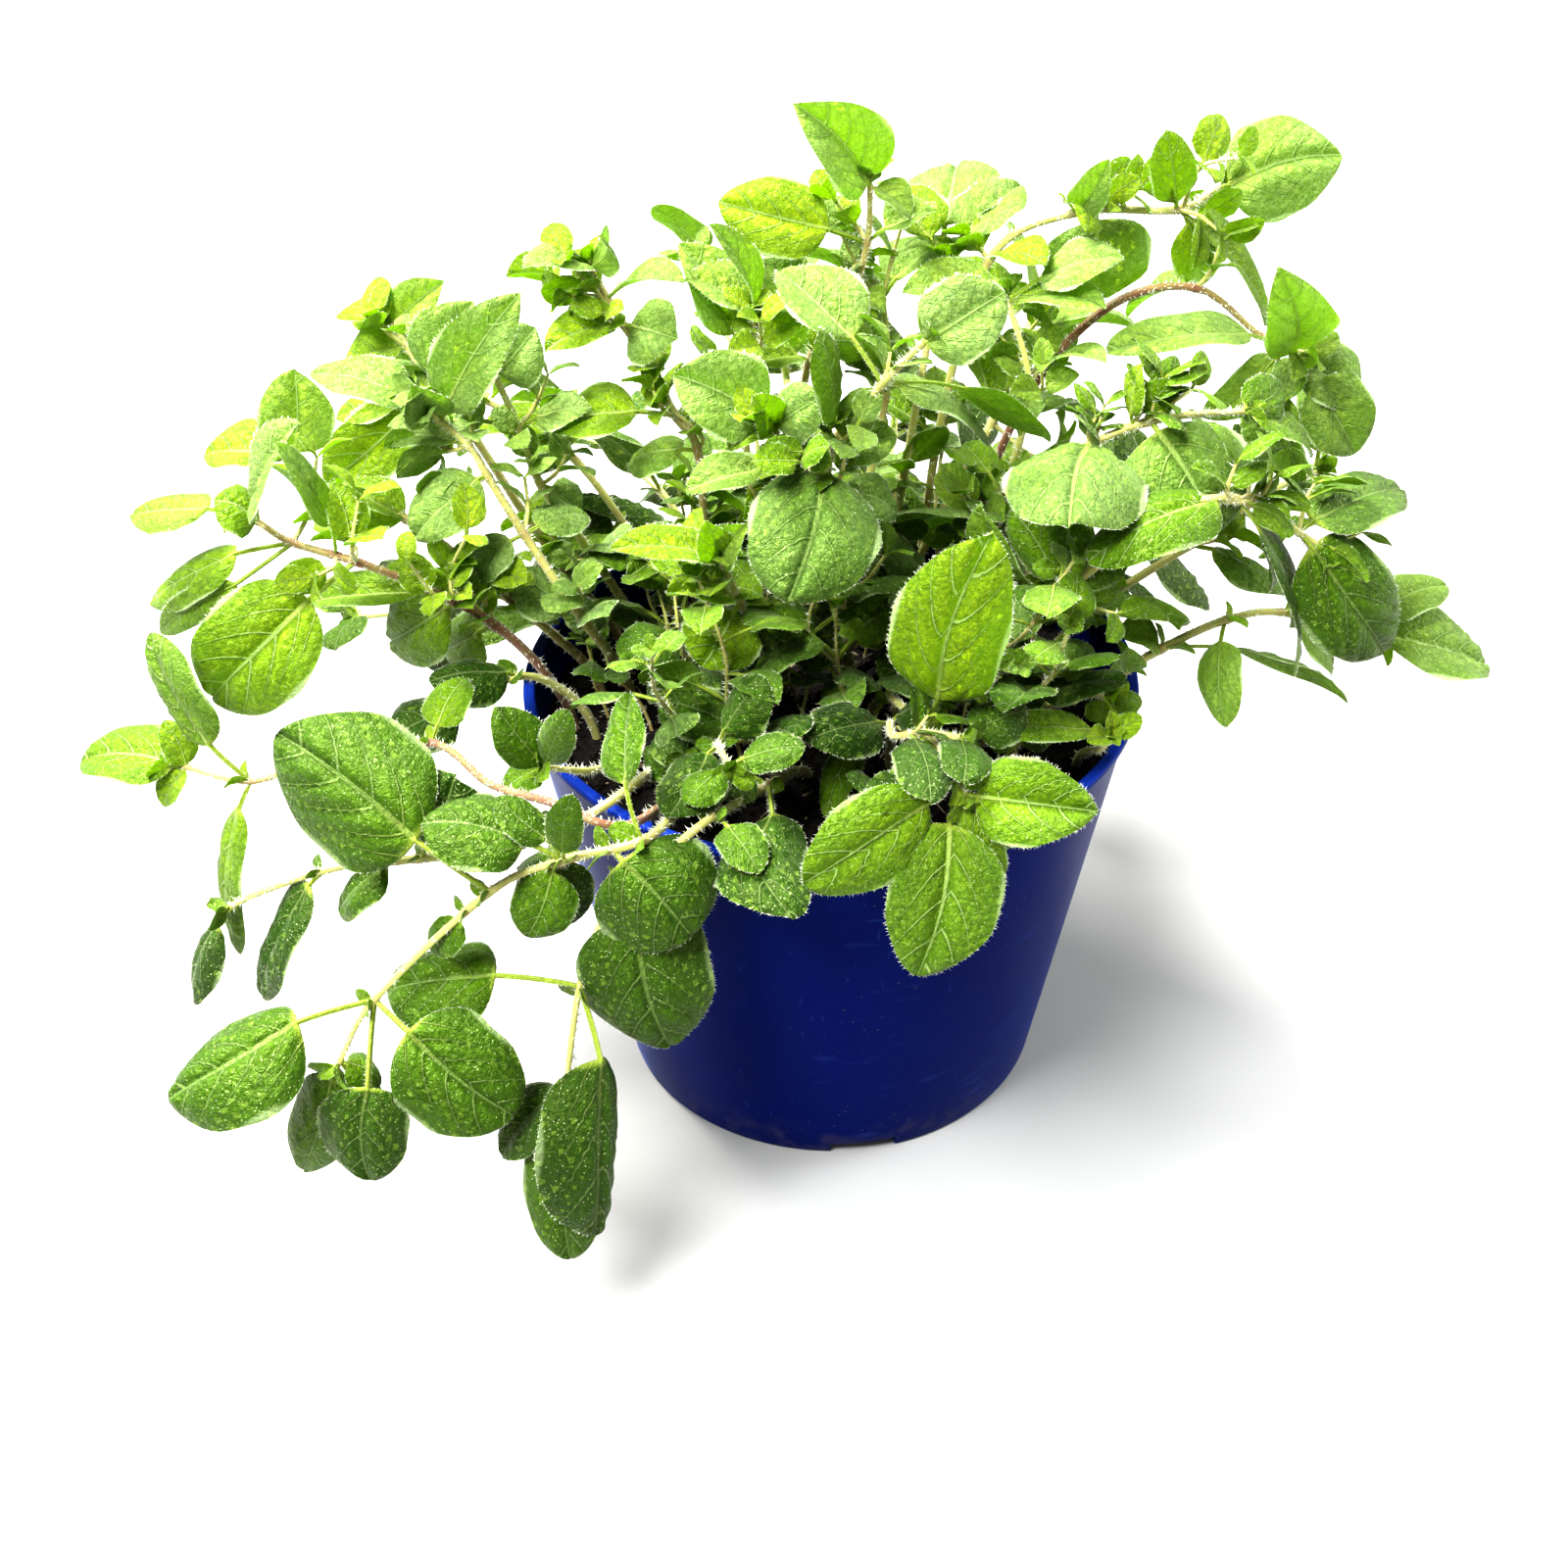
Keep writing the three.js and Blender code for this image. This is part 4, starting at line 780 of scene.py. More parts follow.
def add_leaf(body, leaf, youth, grey, rng, kind):
    """A blade with its stalk: an upper and a lower sheet that meet at the margin, where hairs stand."""
    root, along, normal, across = leaf_frame(leaf)
    length, width, stalk = np.linalg.norm(along), leaf["width"], leaf["stalk"]
    s, b, v = blade_grid(length, width, stalk, CELL[kind])
    stalk_half = LEAF["stalk_width"] / 2 * min(1, 0.5 + width / 28)
    half = half_widths(b, width, stalk_half, youth, rng)

    # At each point: share of the leaf's length (S) and of its blade's (B), place across (V), half the
    # width (H), how far it is blade and not stalk (W), and place across beside the blade's widest (X).
    S, V = np.meshgrid(s, v, indexing="ij")
    B, H = (np.repeat(rows[:, None], len(v), axis=1) for rows in (b, half))
    W = np.clip(B / BLADE["base"], 0, 1)
    X = V * H / (width / 2)
    A = np.abs(X)
    start = np.clip(B - VEINS["slant"] * A - VEINS["bow"] * A**2, -0.7, 1)
    veins = (np.sign(start) * np.abs(start) ** VEINS["crowding"] * VEINS["pairs"] + rng.random()
             + 0.5 * (X > 0) * rng.random())
    size = min(RELIEF["most"], width / RELIEF["full_size"])
    smooth_v = np.sqrt(V**2 + 0.02) - math.sqrt(0.02)
    fold = LEAF["fold"] - BLADE["fold_in_youth"] * youth + BLADE["fold_spread"] * rng.normal()
    curl = (BLADE["curl"] + BLADE["spread"] * rng.normal()) * (1 - youth)
    waves = 2 * np.pi * (BLADE["waves"] * B + rng.random()) + np.sign(V) * 6 * rng.random()
    rise = LEAF["arch"] * 4 * S * (1 - S) * length - fold * smooth_v * H - curl * V**2 * H
    relief = blade_relief(X, V, veins, width / 2, size, W)
    rise += relief + BLADE["wave"] * width / 2 * np.sin(waves) * V**2 * W
    droop = (BLADE["droop"] + BLADE["spread"] * rng.normal()) * width
    rise -= droop * np.clip(B - BLADE["droops_from"], 0, 1) ** 1.5 * (1 - youth)
    sway = BLADE["sway"] * length * rng.normal() * np.sin(np.pi * B)
    turn = (rng.random() - 0.5) * BLADE["twist"] * B

    arc = np.sqrt(np.clip(1 - V**2, 0, 1))
    thick = BLADE["half_sheet"] * arc * (0.4 + 0.6 * size)
    thick = thick * W + stalk_half * 0.85 * arc * (1 - W) * np.clip(S * length / 0.8, 0, 1)
    thick[-1] = 0

    middle = (root + S[..., None] * along + across * (V * H * np.cos(turn) + sway)[..., None]
              + normal * (rise + V * H * np.sin(turn))[..., None])
    look = [youth, rng.random(), grey]
    for side, beneath in ((1, 0), (-1, UNDERSIDE)):
        place = np.stack([X, veins, B + beneath], axis=-1).reshape(-1, 3)
        sheet = middle + normal * (side * thick)[..., None]
        body.add(sheet, grid_faces(len(s), len(v), flip=side < 0), GREEN, place, look)
    for edge, outward in ((0, -1), (-1, 1)):
        out = across * outward * 0.9 + unit(along) * 0.35
        add_fringe(body, middle[1:, edge], out, normal, kind, min(1, 0.3 + width / 20))


def add_hairs(body, bases, directions, kind, scale=1):
    """A three-sided tapering hair at each base, open where it stands in the leaf or stem."""
    _, span, thickness = HAIRS[kind]
    lengths = scale * drawn(body.hair_draws, span, len(bases))
    directions = unit(directions)
    helper = np.where(np.abs(directions[:, 2:3]) < 0.8, [[0, 0, 1.0]], [[1.0, 0, 0]])
    u = unit(np.cross(directions, helper))
    w = np.cross(directions, u)
    corners = [bases + thickness * (u * math.cos(a) + w * math.sin(a)) for a in (0, 2.094, 4.189)]
    points = np.stack([*corners, bases + directions * lengths[:, None]], axis=1).reshape(-1, 3)
    start = 4 * np.arange(len(bases))[:, None]
    body.add(points, np.vstack([start + [0, 1, 3], start + [1, 2, 3], start + [2, 0, 3]]), HAIR)


def add_fringe(body, rim, out, normal, kind, scale):
    """Hairs along a margin."""
    rng = body.hair_draws
    steps = np.linalg.norm(np.diff(rim, axis=0), axis=1)
    total = steps.sum()
    count = int(total * HAIRS[kind][0] * QUICK_SHARE)
    where = np.interp(rng.random(count) * total, np.concatenate([[0], np.cumsum(steps)]), np.arange(len(rim)))
    low = np.minimum(where.astype(int), len(rim) - 2)
    bases = rim[low] + (rim[low + 1] - rim[low]) * (where - low)[:, None]
    directions = out + normal * 0.1 + rng.normal(size=(count, 3)) * 0.35
    add_hairs(body, bases, directions, kind, scale)


# ---------------------------------------------------------------- stems
BARK_TUBE = {
    "sides": 10, "ring_step": 1.7, "fewest_rings": 6,
    "bend_rings": 4,  # rings over which a stem bends out of the soil
    "slimmer": 0.68, "swelling": 0.28, "swelling_reach": 1.3,
    "square": (0.96, 0.10),
}
REDNESS = {"trail_brown": 0.85, "left_brown": 0.9, "arch_red": 0.95, "top_centre": 0.6, "shoot_left": 0.45,
           "left_high": 0.4, "top_right": 0.25, "left_far": 0.4, "fan_left": 0.3, "centre_high": 0.3}


def stem_path(points, length, buried):
    """The rings' middles, and their places on the stem, from the soil to its tip."""
    reach, bend = len(points) - 1, BARK_TUBE["bend_rings"]
    at = np.linspace(0, reach, max(BARK_TUBE["fewest_rings"], int(length / BARK_TUBE["ring_step"])))
    path = point_on(points, at)
    if buried:
        foot = np.array([path[0][0], path[0][1], SOIL["top"] - SOIL["buried"]])
        t = np.linspace(0, 1, bend + 2)[:-1, None]
        rising = foot * (1 - t) ** 2 + path[0] * 2 * t * (1 - t) + path[bend] * t**2
        path = np.vstack([rising, path[bend:]])
        at = np.concatenate([np.linspace(-1, at[bend], bend + 2)[:-1], at[bend:]])
    return path, at


def add_stem(body, points, nodes, redness, rng, scale=1.0, buried=True):
    """A square, slightly grooved stem that swells at its nodes, with hairs."""
    reach = len(points) - 1
    dense = point_on(points, np.linspace(0, reach, 60 * reach))
    length = np.linalg.norm(np.diff(dense, axis=0), axis=1).sum()
    path, at = stem_path(points, length, buried)
    share = np.clip(at / reach, 0, 1)
    radius = (STEM["root"] + (STEM["tip"] - STEM["root"]) * share) * BARK_TUBE["slimmer"] * scale
    wide = BARK_TUBE["swelling_reach"] * (reach / length)
    swell = np.clip(sum((np.exp(-(((at - node) / wide) ** 2)) for node in nodes), 0 * at), 0, 1)
    radius = radius * (1 + BARK_TUBE["swelling"] * swell)

    tangents, sides, others = frames_along(path)
    count = BARK_TUBE["sides"]
    angle = angles(count)
    base, corner = BARK_TUBE["square"]
    square = base + corner * np.cos(4 * (angle - math.pi / 4))
    ring = sides[:, None] * np.cos(angle)[None, :, None] + others[:, None] * np.sin(angle)[None, :, None]
    surface = path[:, None] + ring * (radius[:, None] * square[None])[..., None]
    look = [redness, rng.random(), 0]
    along, around = np.meshgrid(np.arange(len(path)), np.arange(count) / count, indexing="ij")
    marks = np.stack([share[along], swell[along], around], axis=-1).reshape(-1, 3)
    body.add(surface, grid_faces(len(path), count, wrapped=True), BARK, marks, look)
    for end, order in ((0, -1), (-1, 1)):
        body.add_cap(surface[end][::order], BARK, [share[end], 0, 0], look)

    rng = body.hair_draws
    count = int(length * HAIRS["stem"][0] * scale * QUICK_SHARE)
    which = rng.integers(2 if buried else 0, len(path), count)
    turn = rng.random(count) * FULL_TURN
    out = sides[which] * np.cos(turn)[:, None] + others[which] * np.sin(turn)[:, None]
    bases = path[which] + out * (radius[which] * 0.9)[:, None]
    bases = bases + tangents[which] * (rng.random(count) - 0.5)[:, None]
    directions = out + rng.normal(size=(count, 3)) * 0.3 + tangents[which] * 0.15
    add_hairs(body, bases, directions, "stem")


# Tones: how young the leaves are, and how grey.
TONE = {"lime": (0.88, 0.0), "fresh": (0.52, 0.15), "mature": (0.12, 0.05), "dark": (0.0, 0.05),
        "grey": (0.40, 0.8), "pale": (0.75, 0.6)}
# Leaves higher than 118 mm grow younger and paler over the next 60 mm: partly the young growth at the top,
# partly painted light on the high leaves.
HEIGHTS = {"trailing_below": SOIL["top"] + 26, "youth_and_painted_light_from": 118, "youth_and_painted_light_over": 60}
MINTY = 0.60  # share of the leaves that have a pale bloom, which on the high leaves grows with height as a painted highlight
BUD = {
    "stalk": 0.14, "width": 0.66, "splay": 0.95, "closing": 0.22, "shrinking": 0.2, "younger": 0.12,
    "variation": (0.8, 0.4), "small": (3.5, 3), "tip": 6.5,
    "face": np.array([0, -0.3, 1.0]), "tip_face": unit(np.array([0.1, -0.3, 1.0])),
}
SHOOT = {"twice": 0.35, "length": (5, 11), "scale": 0.5, "redness": 0.1, "younger": 0.2, "tuft": (6, 4)}


def add_bud(body, node, along, face, size, pairs, youth, grey, rng):
    """A small shoot in a leaf's axil or at a stem's tip: pairs of young leaves, each turned from the last."""
    side = unit(np.cross(along, face) + 1e-6)
    for k in range(pairs):
        turn = k * math.pi / 2 + rng.random() * 0.5
        spread = (BUD["splay"] - BUD["closing"] * k) * drawn(rng, BUD["variation"])
        across = side * math.cos(turn) + np.cross(along, side) * math.sin(turn)
        for flip in (1, -1):
            direction = along * (1.0 - 0.3 * spread) + across * flip * spread + rng.normal(size=3) * 0.08
            length = size * (1 - BUD["shrinking"] * k) * drawn(rng, BUD["variation"])
            leaf = {"root": node, "tip": node + unit(direction) * length, "width": length * BUD["width"],
                    "stalk": BUD["stalk"], "face": unit(along * 0.9 - across * flip * 0.5 + [0, 0, 0.3])}
            add_leaf(body, leaf, min(1, youth + BUD["younger"] * k), grey, rng, "bud")


def add_side_shoot(body, node, lean, length, youth, grey, rng):
    """A short branch in an axil: a thin stem with one pair of leaves and a tuft at its tip."""
    bend = rng.normal(size=3) * 0.12 * length
    tip = node + lean * length + [0, 0, 0.1 * length]
    points = np.array([node, node + lean * length * 0.5 + bend, tip])
    add_stem(body, points, [1], SHOOT["redness"], rng, scale=SHOOT["scale"], buried=False)
    whole, end = unit(points[2] - points[0]), unit(points[2] - points[1])
    add_bud(body, points[1], whole, BUD["face"], 6.5 + 0.5 * length * rng.random(), 1, youth, grey, rng)
    add_bud(body, points[2], end, BUD["face"], drawn(rng, SHOOT["tuft"]), 1, min(1, youth + 0.1), grey, rng)


def leafy_stem(plan, seed):
    rng = np.random.default_rng(seed)
    body = Body()
    name, points = plan["name"], plan["points"]
    young, grey = TONE[plan["tone"]]
    redness = REDNESS.get(name, 0.12 + 0.15 * rng.random())
    last = len(points) - 1
    nodes = sorted({round(leaf["at"], 2) for leaf in plan["leaves"]})
    add_stem(body, points, nodes, redness, rng)
    for leaf in plan["leaves"]:
        up_stem = (leaf["at"] / last) ** 2
        small = np.clip((14 - leaf["width"]) / 14, 0, 1)
        # The height term makes high leaves younger and gives the bloomed ones more pale bloom: partly real
        # young growth, partly a painted highlight where the top of the plant catches the light.
        height = np.clip((leaf["tip"][2] - HEIGHTS["youth_and_painted_light_from"]) / HEIGHTS["youth_and_painted_light_over"], 0, 1)
        chance = (0.16 + 0.20 * height) * (rng.random() - 0.5)
        youth = young * 0.75 + 0.30 * up_stem * small + 0.30 * height + chance
        bloom_and_painted_highlight = grey + (0.06 + 0.69 * height) * (rng.random() < MINTY)
        add_leaf(body, leaf, np.clip(youth, 0, 1), min(1, bloom_and_painted_highlight), rng, "leaf")
    for node in nodes:
        if node >= last - 0.2:
            continue
        place, along = point_on(points, node)[0], heading(points, node)
        if points[-1][2] < HEIGHTS["trailing_below"]:
            size, upward = drawn(rng, BUD["small"]), unit(along + [0, 0, 0.6])
            add_bud(body, place, upward, BUD["face"], size, 1, min(1, young + 0.25), grey, rng)
            continue
        for _ in range(1 + (rng.random() < SHOOT["twice"])):
            lean = unit(along * 0.8 + rng.normal(size=3) * 0.6 + [0, 0, 0.4])
            shortest, more = SHOOT["length"]
            length = shortest + more * rng.random() ** 1.5
            add_side_shoot(body, place, lean, length, min(1, young + SHOOT["younger"]), grey, rng)
    tip = points[-1]
    end = unit(tip - point_on(points, last - 0.12)[0])
    add_bud(body, tip, end, BUD["tip_face"], BUD["tip"], 3, min(1, young + 0.3), grey, rng)
    stem = body.make("leafy_" + name, [LEAF_GREEN, PALE_HAIR, STEM_BARK])
    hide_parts(name)


# ---------------------------------------------------------------- materials
class Nodes:
    """Short forms for building a material's nodes. The scales of its textures are in features in a metre."""

    def __init__(self, name):
        self.material = bpy.data.materials.new(name)
        self.material.use_nodes = True
        self.tree = self.material.node_tree
        self.tree.nodes.clear()
        self.output = self.add("ShaderNodeOutputMaterial")
        self.where = self.add("ShaderNodeTexCoord").outputs["Object"]

    def add(self, kind, settings=None, **sockets):
        node = self.tree.nodes.new(kind)
        for key, value in (settings or {}).items():
            setattr(node, key, value)
        for key, value in sockets.items():
            self.set(node.inputs[key.replace("_", " ")], value)
        return node

    def set(self, socket, value):
        if isinstance(value, bpy.types.NodeSocket):
            self.tree.links.new(value, socket)
        elif isinstance(value, tuple) and len(value) == 3 and socket.type == "RGBA":
            socket.default_value = (*value, 1)
        else:
            socket.default_value = value

    def math(self, operation, a, b=None, c=None, clamp=False):
        node = self.add("ShaderNodeMath", {"operation": operation, "use_clamp": clamp})
        for socket, value in zip(node.inputs, (a, b, c)):
            if value is not None:
                self.set(socket, value)
        return node.outputs[0]

    def times(self, a, b):
        return self.math("MULTIPLY", a, b)

    def plus(self, a, b):
        return self.math("ADD", a, b)

    def minus(self, a, b):
        return self.math("SUBTRACT", a, b)

    def most(self, a, b):
        return self.math("MAXIMUM", a, b)

    def ramp(self, value, start, end, low=0.0, high=1.0):
        """A smooth step from low to high as value goes from start to end."""
        node = self.add("ShaderNodeMapRange", {"interpolation_type": "SMOOTHSTEP", "clamp": True})
        for socket, number in zip(node.inputs, (value, start, end, low, high)):
            self.set(socket, number)
        return node.outputs[0]

    def mix(self, share, a, b, blend="MIX"):
        node = self.add("ShaderNodeMix", {"data_type": "RGBA", "blend_type": blend})
        for socket, value in zip((node.inputs[0], node.inputs[6], node.inputs[7]), (share, a, b)):
            self.set(socket, value)
        return node.outputs[2]

    def tinted(self, share, colour, tint):
        """The colour, with a share of it multiplied by a tint."""
        return self.mix(share, colour, self.mix(1.0, colour, tint, "MULTIPLY"))

    def colours(self, value, stops):
        node = self.add("ShaderNodeValToRGB", Fac=value)
        elements = node.color_ramp.elements
        while len(elements) < len(stops):
            elements.new(0.5)
        for element, (position, colour) in zip(elements, stops):
            element.position, element.color = position, (*colour, 1)
        return node.outputs[0]

    def split(self, attribute):
        vector = self.add("ShaderNodeAttribute", {"attribute_name": attribute}).outputs["Vector"]
        return self.add("ShaderNodeSeparateXYZ", Vector=vector).outputs

    def stretched(self, *scale):
        return self.add("ShaderNodeMapping", Vector=self.where, Scale=scale).outputs[0]

    def noise(self, scale, detail, vector=None):
        vector = vector or self.where
        return self.add("ShaderNodeTexNoise", Scale=scale, Detail=detail, Vector=vector).outputs[0]

    def cells(self, scale):
        return self.add("ShaderNodeTexVoronoi", Scale=scale, Vector=self.where).outputs["Distance"]

    def bump(self, height, strength, distance):
        return self.add("ShaderNodeBump", Height=height, Strength=strength, Distance=distance).outputs[0]

    def shader(self, **sockets):
        return self.add("ShaderNodeBsdfPrincipled", **sockets).outputs[0]

    def finish(self, shader):
        self.set(self.output.inputs["Surface"], shader)
        return self.material


# The bloom colour serves both the real pale bloom and the painted highlight on the high leaves.
LEAF_COLOURS = {
    "by_youth": [(0.0, (0.010, 0.044, 0.001)), (0.2, (0.054, 0.132, 0.002)), (0.45, (0.136, 0.250, 0.004)),
                 (0.75, (0.240, 0.345, 0.011)), (1.0, (0.345, 0.450, 0.034))],
    "bloom_and_painted_highlight": (0.262, 0.378, 0.140), "beneath": (0.200, 0.320, 0.040), "stalk": (0.330, 0.430, 0.050),
    "vein": (0.420, 0.600, 0.180), "vein_at_base": (0.600, 0.700, 0.160),
    "gland": (0.600, 0.740, 0.360), "margin": (0.600, 0.740, 0.380),
    "glow": (0.500, 0.760, 0.004), "vein_glow": (0.300, 0.420, 0.060),
}
# Tints that multiply a leaf's colour. The last one darkens the grooves beside the veins: it is painted shade.
LEAF_TINTS = {
    "darker": (0.45, 0.60, 0.50), "lime": (1.60, 1.40, 1.00), "mottle": (1.40, 1.30, 1.20),
    "stipple": (0.46, 0.56, 0.40), "painted_crease_shade": (0.42, 0.55, 0.35),
}


def leaf_green():
    """Soft, quilted, gland-dotted leaves, paler beneath, that let light through, with shade painted into the
    grooves beside the veins.
    """
    n, colour, tint = Nodes("leaf_green"), LEAF_COLOURS, LEAF_TINTS
    across, row, along = n.split("place")
    youth, chance, grey = n.split("look")
    beneath = n.math("GREATER_THAN", along, 1.5)
    along = n.minus(along, n.times(beneath, float(UNDERSIDE)))
    beside = n.math("ABSOLUTE", across)
    between = n.math("PINGPONG", n.plus(row, 20.0), 0.5)
    soft = n.most(youth, grey)

    green = n.colours(youth, colour["by_youth"])
    green = n.tinted(n.ramp(chance, 0, 1, 0.0, 0.5), green, tint["darker"])
    lime = n.times(n.ramp(beside, 0.05, 0.75, 1, 0), n.ramp(along, 0.1, 0.9, 1, 0.35))
    green = n.tinted(lime, green, tint["lime"])
    # Pale bloom: real greyness, plus a painted highlight that the high leaves carry in the third number of
    # their look.
    bloom_and_painted_highlight = n.times(n.ramp(n.noise(110, 4), 0.34, 0.62, 0.6, 1), n.ramp(grey, 0.05, 1.0, 0, 0.8))
    green = n.mix(bloom_and_painted_highlight, green, colour["bloom_and_painted_highlight"])
    green = n.mix(n.times(beneath, 0.4), green, colour["beneath"])
    green = n.tinted(n.ramp(n.noise(520, 3), 0.42, 0.70), green, tint["mottle"])
    stipple = n.ramp(n.noise(1400, 2), 0.36, 0.62)
    green = n.tinted(n.times(stipple, 0.7), green, tint["stipple"])
    # Painted shade: the colour is darkened beside the side veins and beside the midrib, where the grooves of
    # the quilted blade would be shaded.
    painted_crease_shade = n.times(n.ramp(between, 0.06, 0.22, 1, 0), n.ramp(beside, 0.1, 0.9, 0.62, 0.25))
    green = n.tinted(n.most(painted_crease_shade, n.ramp(beside, 0.05, 0.16, 0.45, 0)), green, tint["painted_crease_shade"])

    narrowing = n.math("MULTIPLY_ADD", along, -0.7, 1.1)
    rib = n.ramp(n.math("DIVIDE", beside, narrowing), 0.020, 0.060, 1, 0)
    branch = n.times(n.ramp(between, 0.018, 0.062, 1, 0), n.ramp(beside, 0.30, 0.85, 0.9, 0.08))
    veins = n.most(rib, branch)
    pale = n.mix(n.ramp(along, 0.0, 0.45, 0.75, 0.0), colour["vein"], colour["vein_at_base"])
    green = n.mix(n.times(veins, n.ramp(youth, 0.05, 0.5, 0.20, 0.76)), green, pale)
    green = n.mix(n.ramp(along, 0.0, 0.05, 0.75, 0.0), green, colour["stalk"])
    glands = n.times(n.ramp(n.cells(1150), 0.09, 0.22, 1, 0), n.ramp(n.noise(240, 2), 0.35, 0.6, 0.35, 1))
    green = n.mix(n.times(glands, 0.6), green, colour["gland"])
    margin = n.times(n.ramp(beside, 0.93, 1.01), n.ramp(soft, 0.2, 0.7, 0.25, 0.8))
    green = n.mix(margin, green, colour["margin"])

    fine = n.noise(2600, 2)
    height = n.minus(n.times(fine, 0.8), n.times(n.cells(800), 0.7))
    normal = n.bump(n.minus(height, n.times(veins, 0.7)), 0.95, 0.00050)
    surface = n.shader(
        Base_Color=green, Roughness=n.ramp(fine, 0.3, 0.8, 0.28, 0.48), Normal=normal,
        Specular_IOR_Level=0.38, Specular_Tint=(0.85, 1.0, 0.32),
        Sheen_Weight=0.13, Sheen_Roughness=0.35, Sheen_Tint=(0.90, 1.0, 0.60),
    )
    glow = n.mix(n.ramp(youth, 0.0, 0.9, 0.35, 0.80), green, colour["glow"])
    glow = n.mix(n.times(veins, 0.4), glow, colour["vein_glow"])
    through = n.add("ShaderNodeBsdfTranslucent", Color=glow, Normal=normal).outputs[0]
    both = n.add("ShaderNodeMixShader", Fac=n.ramp(youth, 0, 1, 0.24, 0.56))
    n.set(both.inputs[1], surface)
    n.set(both.inputs[2], through)
    return n.finish(both.outputs[0])


BARK_COLOURS = {
    "green": ((0.270, 0.330, 0.035), (0.600, 0.570, 0.190)), "foot": (0.120, 0.125, 0.024),
    "red": ((0.090, 0.026, 0.012), (0.250, 0.100, 0.045)),
}


def stem_bark():
    """Pale green square stems, redder where they are old and at their nodes."""
    n = Nodes("stem_bark")
    share, swell, around = n.split("place")
    redness, _, _ = n.split("look")
    streaks = n.noise(420, 4)
    green = n.mix(streaks, *BARK_COLOURS["green"])
    green = n.mix(n.ramp(share, 0.0, 0.30, 0.60, 0), green, BARK_COLOURS["foot"])
    older = n.times(redness, n.ramp(share, 0.25, 1.15, 1.1, 0.45))
    older = n.plus(older, n.times(swell, 0.28))
    older = n.math("ADD", older, n.ramp(streaks, 0.35, 0.7, -0.14, 0.14), clamp=True)
    ridges = n.math("PINGPONG", n.times(around, 4.0), 0.5)
    return n.finish(n.shader(
        Base_Color=n.mix(older, green, n.mix(streaks, *BARK_COLOURS["red"])),
        Roughness=n.ramp(streaks, 0.3, 0.7, 0.45, 0.65),
        Normal=n.bump(n.plus(n.noise(1800, 3), n.times(ridges, 0.6)), 0.4, 0.00025),
        Specular_IOR_Level=0.4, Sheen_Weight=0.25, Sheen_Tint=(1.0, 1.0, 0.9),
    ))


def pale_hair():
    n = Nodes("pale_hair")
    streaks = n.noise(900, 1)
    colour = n.mix(streaks, (0.56, 0.60, 0.42), (0.90, 0.92, 0.78))
    return n.finish(n.shader(Base_Color=colour, Roughness=n.ramp(streaks, 0.2, 0.8, 0.3, 0.5)))


# The lip colour is a painted highlight along the top of the rim.
PLASTIC_COLOURS = {
    "blue": ((0.0003, 0.0028, 0.056), (0.0006, 0.0058, 0.092)), "worn": (0.030, 0.065, 0.300),
    "lip": (0.012, 0.050, 0.400), "dirt": (0.100, 0.085, 0.075),
}


def pot_plastic():
    """Moulded blue plastic with flow marks, scratches, scuffs, specks of soil and dust at the foot, and a
    highlight painted along the top of the rim.
    """
    n, colour = Nodes("pot_plastic"), PLASTIC_COLOURS
    _, _, z = n.add("ShaderNodeSeparateXYZ", Vector=n.where).outputs
    flow = n.noise(26, 3)
    blue = n.mix(flow, *colour["blue"])
    scratch = n.ramp(n.noise(900, 2, n.stretched(1.0, 1.0, 0.12)), 0.66, 0.76)
    scuff = n.ramp(n.noise(260, 4, n.stretched(0.25, 0.25, 2.0)), 0.58, 0.72)
    scuff = n.times(scuff, n.ramp(n.noise(40, 2), 0.5, 0.62))
    wear = n.most(n.times(scratch, 0.18), n.times(scuff, 0.22))
    blue = n.mix(wear, blue, colour["worn"])
    # Painted highlight: from 94.8 mm up, the top of the rim is mixed towards a much lighter blue.
    blue = n.mix(n.ramp(z, 0.0948, 0.0963, 0, 0.40), blue, colour["lip"])
    specks = n.times(n.ramp(n.cells(420), 0.13, 0.06), n.ramp(n.noise(60, 2), 0.50, 0.66))
    dusty = n.times(n.ramp(z, 0.013, 0.001), n.ramp(n.noise(220, 4), 0.40, 0.75, 0, 0.3))
    dirt = n.most(n.times(specks, 0.55), dusty)
    height = n.plus(n.times(n.noise(3200, 2), 0.3), n.times(n.noise(95, 2), 1.2))
    rough = n.plus(n.ramp(flow, 0.3, 0.7, 0.30, 0.38), n.times(dirt, 0.4))
    return n.finish(n.shader(
        Base_Color=n.mix(dirt, blue, colour["dirt"]), Normal=n.bump(n.minus(height, wear), 0.25, 0.00012),
        Roughness=n.plus(rough, n.times(wear, 0.3)),
        Specular_IOR_Level=0.03, Specular_Tint=(0.20, 0.45, 1.0),
        Sheen_Weight=0.12, Sheen_Roughness=0.25, Sheen_Tint=(0.08, 0.24, 1.0),
    ))


def peat(name, dark, light, speck):
    """Crumbly potting soil."""
    n = Nodes(name)
    lumps = n.noise(700, 5)
    brown = n.mix(n.ramp(lumps, 0.30, 0.72), dark, light)
    fibre = n.ramp(n.noise(1900, 2), 0.62, 0.72)
    height = n.plus(lumps, n.times(n.cells(900), 0.8))
    return n.finish(n.shader(
        Base_Color=n.mix(n.times(fibre, 0.5), brown, speck), Roughness=n.ramp(lumps, 0.3, 0.7, 0.75, 0.95),
        Normal=n.bump(height, 0.9, 0.0008), Specular_IOR_Level=0.15,
    ))


def stage_floor():
    n = Nodes("stage_floor")
    colour = n.mix(n.noise(14, 2), (0.27, 0.27, 0.27), (0.29, 0.29, 0.29))
    return n.finish(n.shader(Base_Color=colour, Roughness=0.75))


